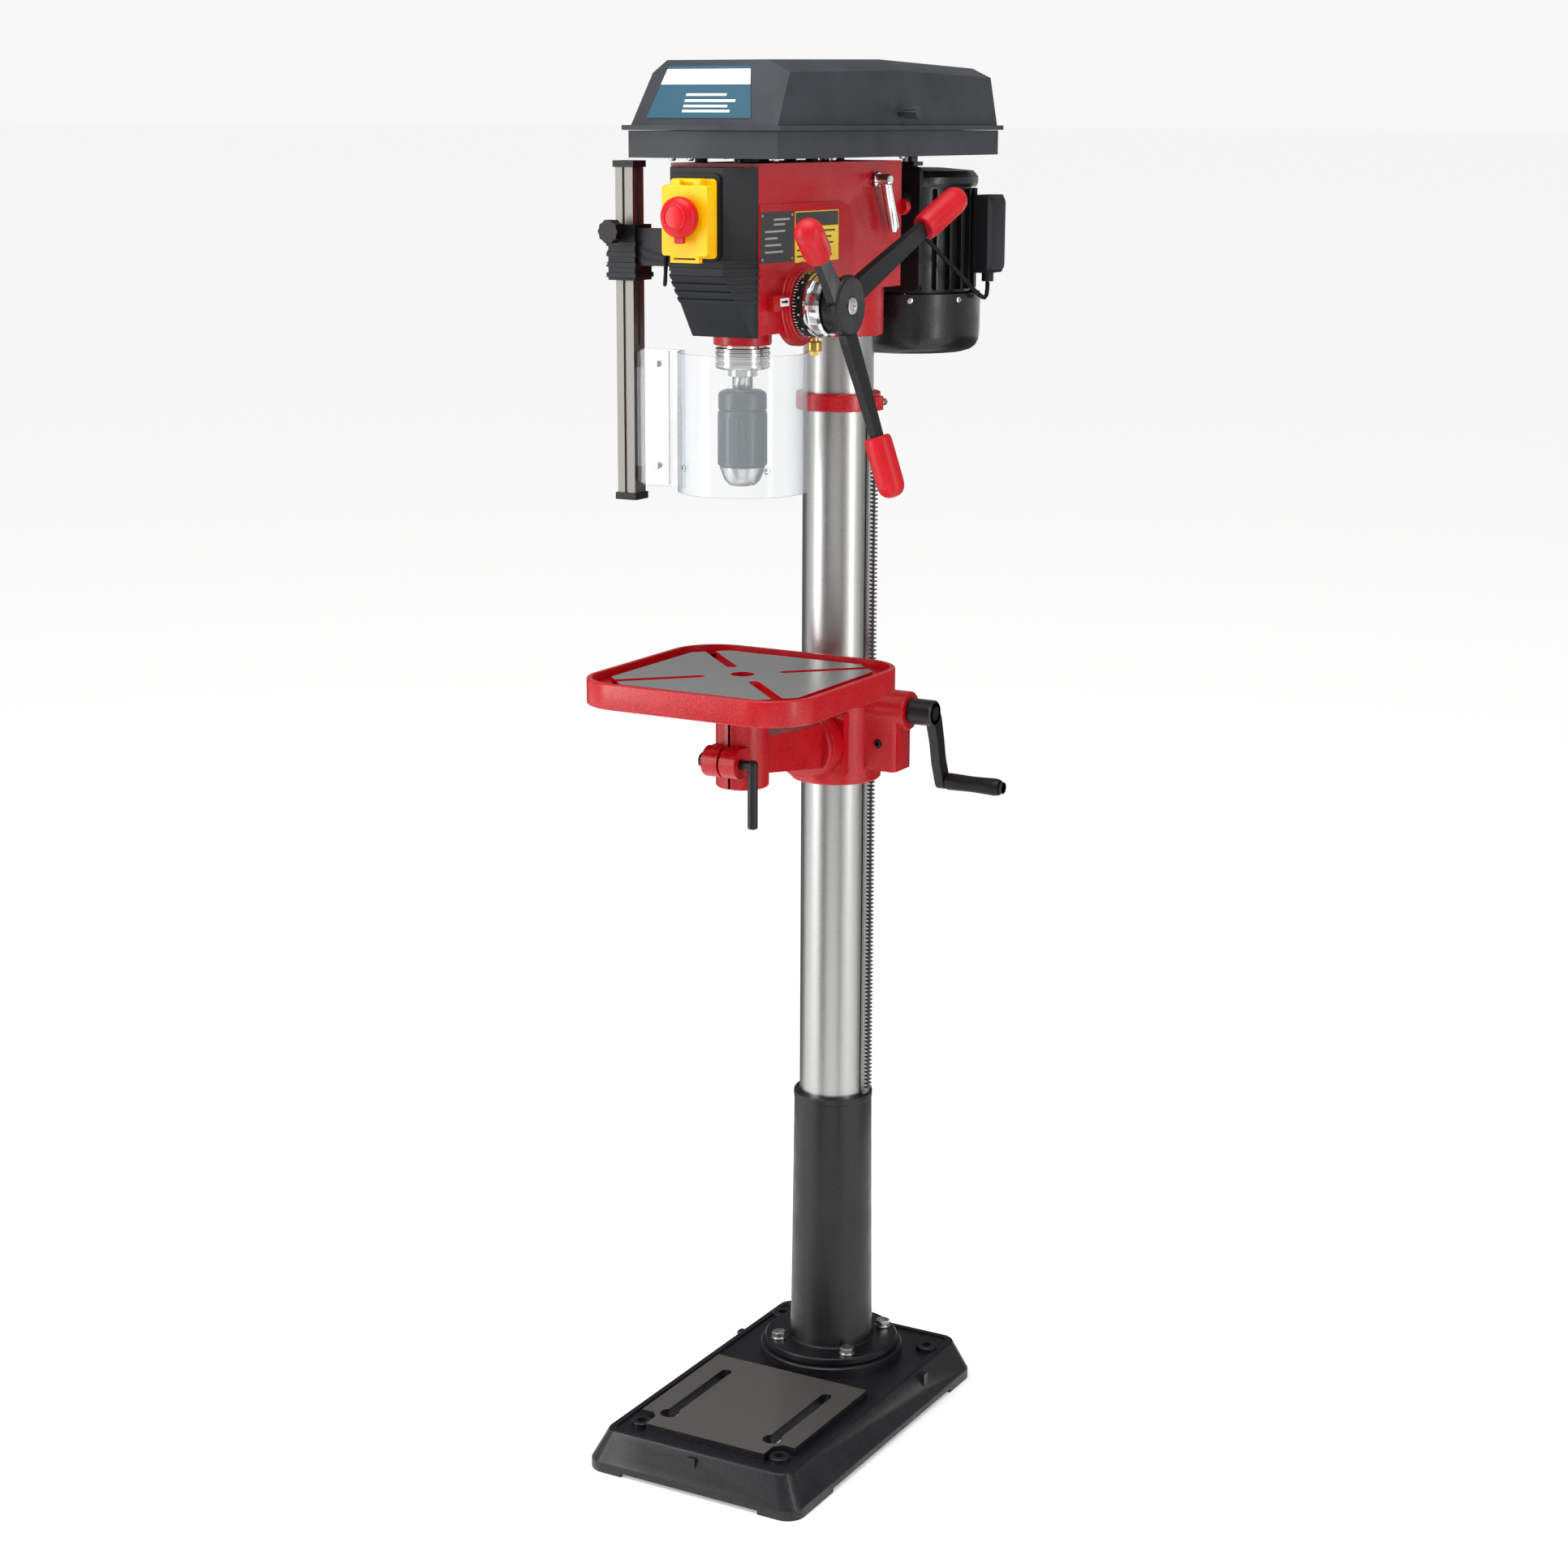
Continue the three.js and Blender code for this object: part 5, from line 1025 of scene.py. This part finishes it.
def makeStage():
    shape = bmesh.new()
    bmesh.ops.create_grid(shape, x_segments=2, y_segments=2, size=stageValues["floorSize"] / 2)
    mesh = bpy.data.meshes.new("floor")
    shape.to_mesh(mesh)
    shape.free()
    floor = bpy.data.objects.new("floor", mesh)
    bpy.context.scene.collection.objects.link(floor)
    material, tree, shader, place = startMaterial("paleStudioFloor", {
        "Base Color": hexColour("#F6F6F5"), "Roughness": 0.7, "Emission Color": hexColour("#FFFFFF"),
        "Emission Strength": 0.3})
    mesh.materials.append(material)
    world = bpy.data.worlds.new("paleStudio")
    bpy.context.scene.world = world
    world.use_nodes = True
    tree = world.node_tree
    backdrop = tree.nodes["Background"]
    backdrop.inputs["Color"].default_value = hexColour("#FAFAFA")
    backdrop.inputs["Strength"].default_value = 0.98
    room = addNode(tree, "ShaderNodeBackground", values={"Strength": 0.42})
    upward = addNode(tree, "ShaderNodeTexCoord").outputs["Generated"]
    height = addNode(tree, "ShaderNodeSeparateXYZ", links={"Vector": upward}).outputs["Z"]
    tree.links.new(blendColours(tree, spread(tree, height, 0.0, 1.0, 0.0, 0.3), "#8A8C90", "#FFFFFF"),
                   room.inputs["Color"])
    seen = addNode(tree, "ShaderNodeLightPath").outputs["Is Camera Ray"]
    both = addNode(tree, "ShaderNodeMixShader", links={0: seen, 1: room.outputs[0], 2: backdrop.outputs[0]})
    tree.links.new(both.outputs[0], tree.nodes["World Output"].inputs["Surface"])
    sun = bpy.data.objects.new("openSky", bpy.data.lights.new("openSky", "SUN"))
    sun.data.energy = 1.0
    sun.data.angle = math.radians(60)
    sun.rotation_euler = (math.radians(18), math.radians(-14), 0)
    bpy.context.scene.collection.objects.link(sun)


def addFlag(name, start, end, low, high, radius):  # dark curved card that only mirror-like faces pick up
    shape = bmesh.new()
    steps = max(2, int((end - start) / 6))
    rows = []
    for i in range(steps + 1):
        turn = math.radians(stageValues["azimuth"] - 90 + start + (end - start) * i / steps)
        x, y = radius * math.cos(turn), radius * math.sin(turn)
        rows.append((shape.verts.new((x, y, low)), shape.verts.new((x, y, high))))
    for first, second in zip(rows, rows[1:]):
        shape.faces.new((first[0], second[0], second[1], first[1]))
    mesh = bpy.data.meshes.new(name)
    shape.to_mesh(mesh)
    shape.free()
    mesh.materials.append(stageValues["flagLook"])
    card = bpy.data.objects.new(name, mesh)
    bpy.context.scene.collection.objects.link(card)
    for kind in ("camera", "diffuse", "transmission", "volume_scatter", "shadow"):
        setattr(card, "visible_" + kind, False)


def addFlags():
    material, tree, shader, place = startMaterial("greyStudioCard", {"Base Color": hexColour("#48494B"), "Roughness": 0.9})
    stageValues["flagLook"] = material
    for name, start, end in (("cardBackRight", 84, 176), ("cardBackLeft", -180, -118), ("cardFrontLeft", -50, -28),
                             ("cardFrontRight", 12, 24)):
        addFlag(name, start, end, 0.0, 1.12, 1.0)


def addSoftbox(name, place, target, width, height, power):
    light = bpy.data.lights.new(name, "AREA")
    light.shape = "RECTANGLE"
    light.size, light.size_y = width, height
    light.energy = power
    box = bpy.data.objects.new(name, light)
    bpy.context.scene.collection.objects.link(box)
    box.location = place
    box.rotation_mode = "QUATERNION"
    box.rotation_quaternion = (Vector(target) - Vector(place)).to_track_quat("-Z", "Y")


def makeCamera():
    v = stageValues
    camera = bpy.data.objects.new("camera", bpy.data.cameras.new("camera"))
    bpy.context.scene.collection.objects.link(camera)
    azimuth, tilt = math.radians(v["azimuth"]), math.radians(v["tilt"])
    camera.data.sensor_width = 36.0
    camera.data.lens = v["lens"]
    camera.location = v["place"]
    camera.rotation_mode = "QUATERNION"
    turn = Matrix.Rotation(azimuth, 3, "Z") @ Matrix.Rotation(math.pi / 2 - tilt, 3, "X")
    camera.rotation_quaternion = (turn @ Matrix.Rotation(math.radians(v["roll"]), 3, "Z")).to_quaternion()
    bpy.context.scene.camera = camera


makeStage()
addSoftbox("softboxLeft", (-1.9, -2.4, 1.5), (0, -0.1, 0.9), 0.9, 2.6, 60)
addSoftbox("softboxRight", (2.9, -0.7, 1.5), (0, 0, 0.9), 0.5, 2.6, 34)
addSoftbox("softboxTop", (0.2, -0.9, 3.4), (0, -0.1, 0.8), 2.0, 1.6, 40)
addFlags()
makeCamera()
bpy.context.scene.view_settings.view_transform = "Standard"
print("stage made")
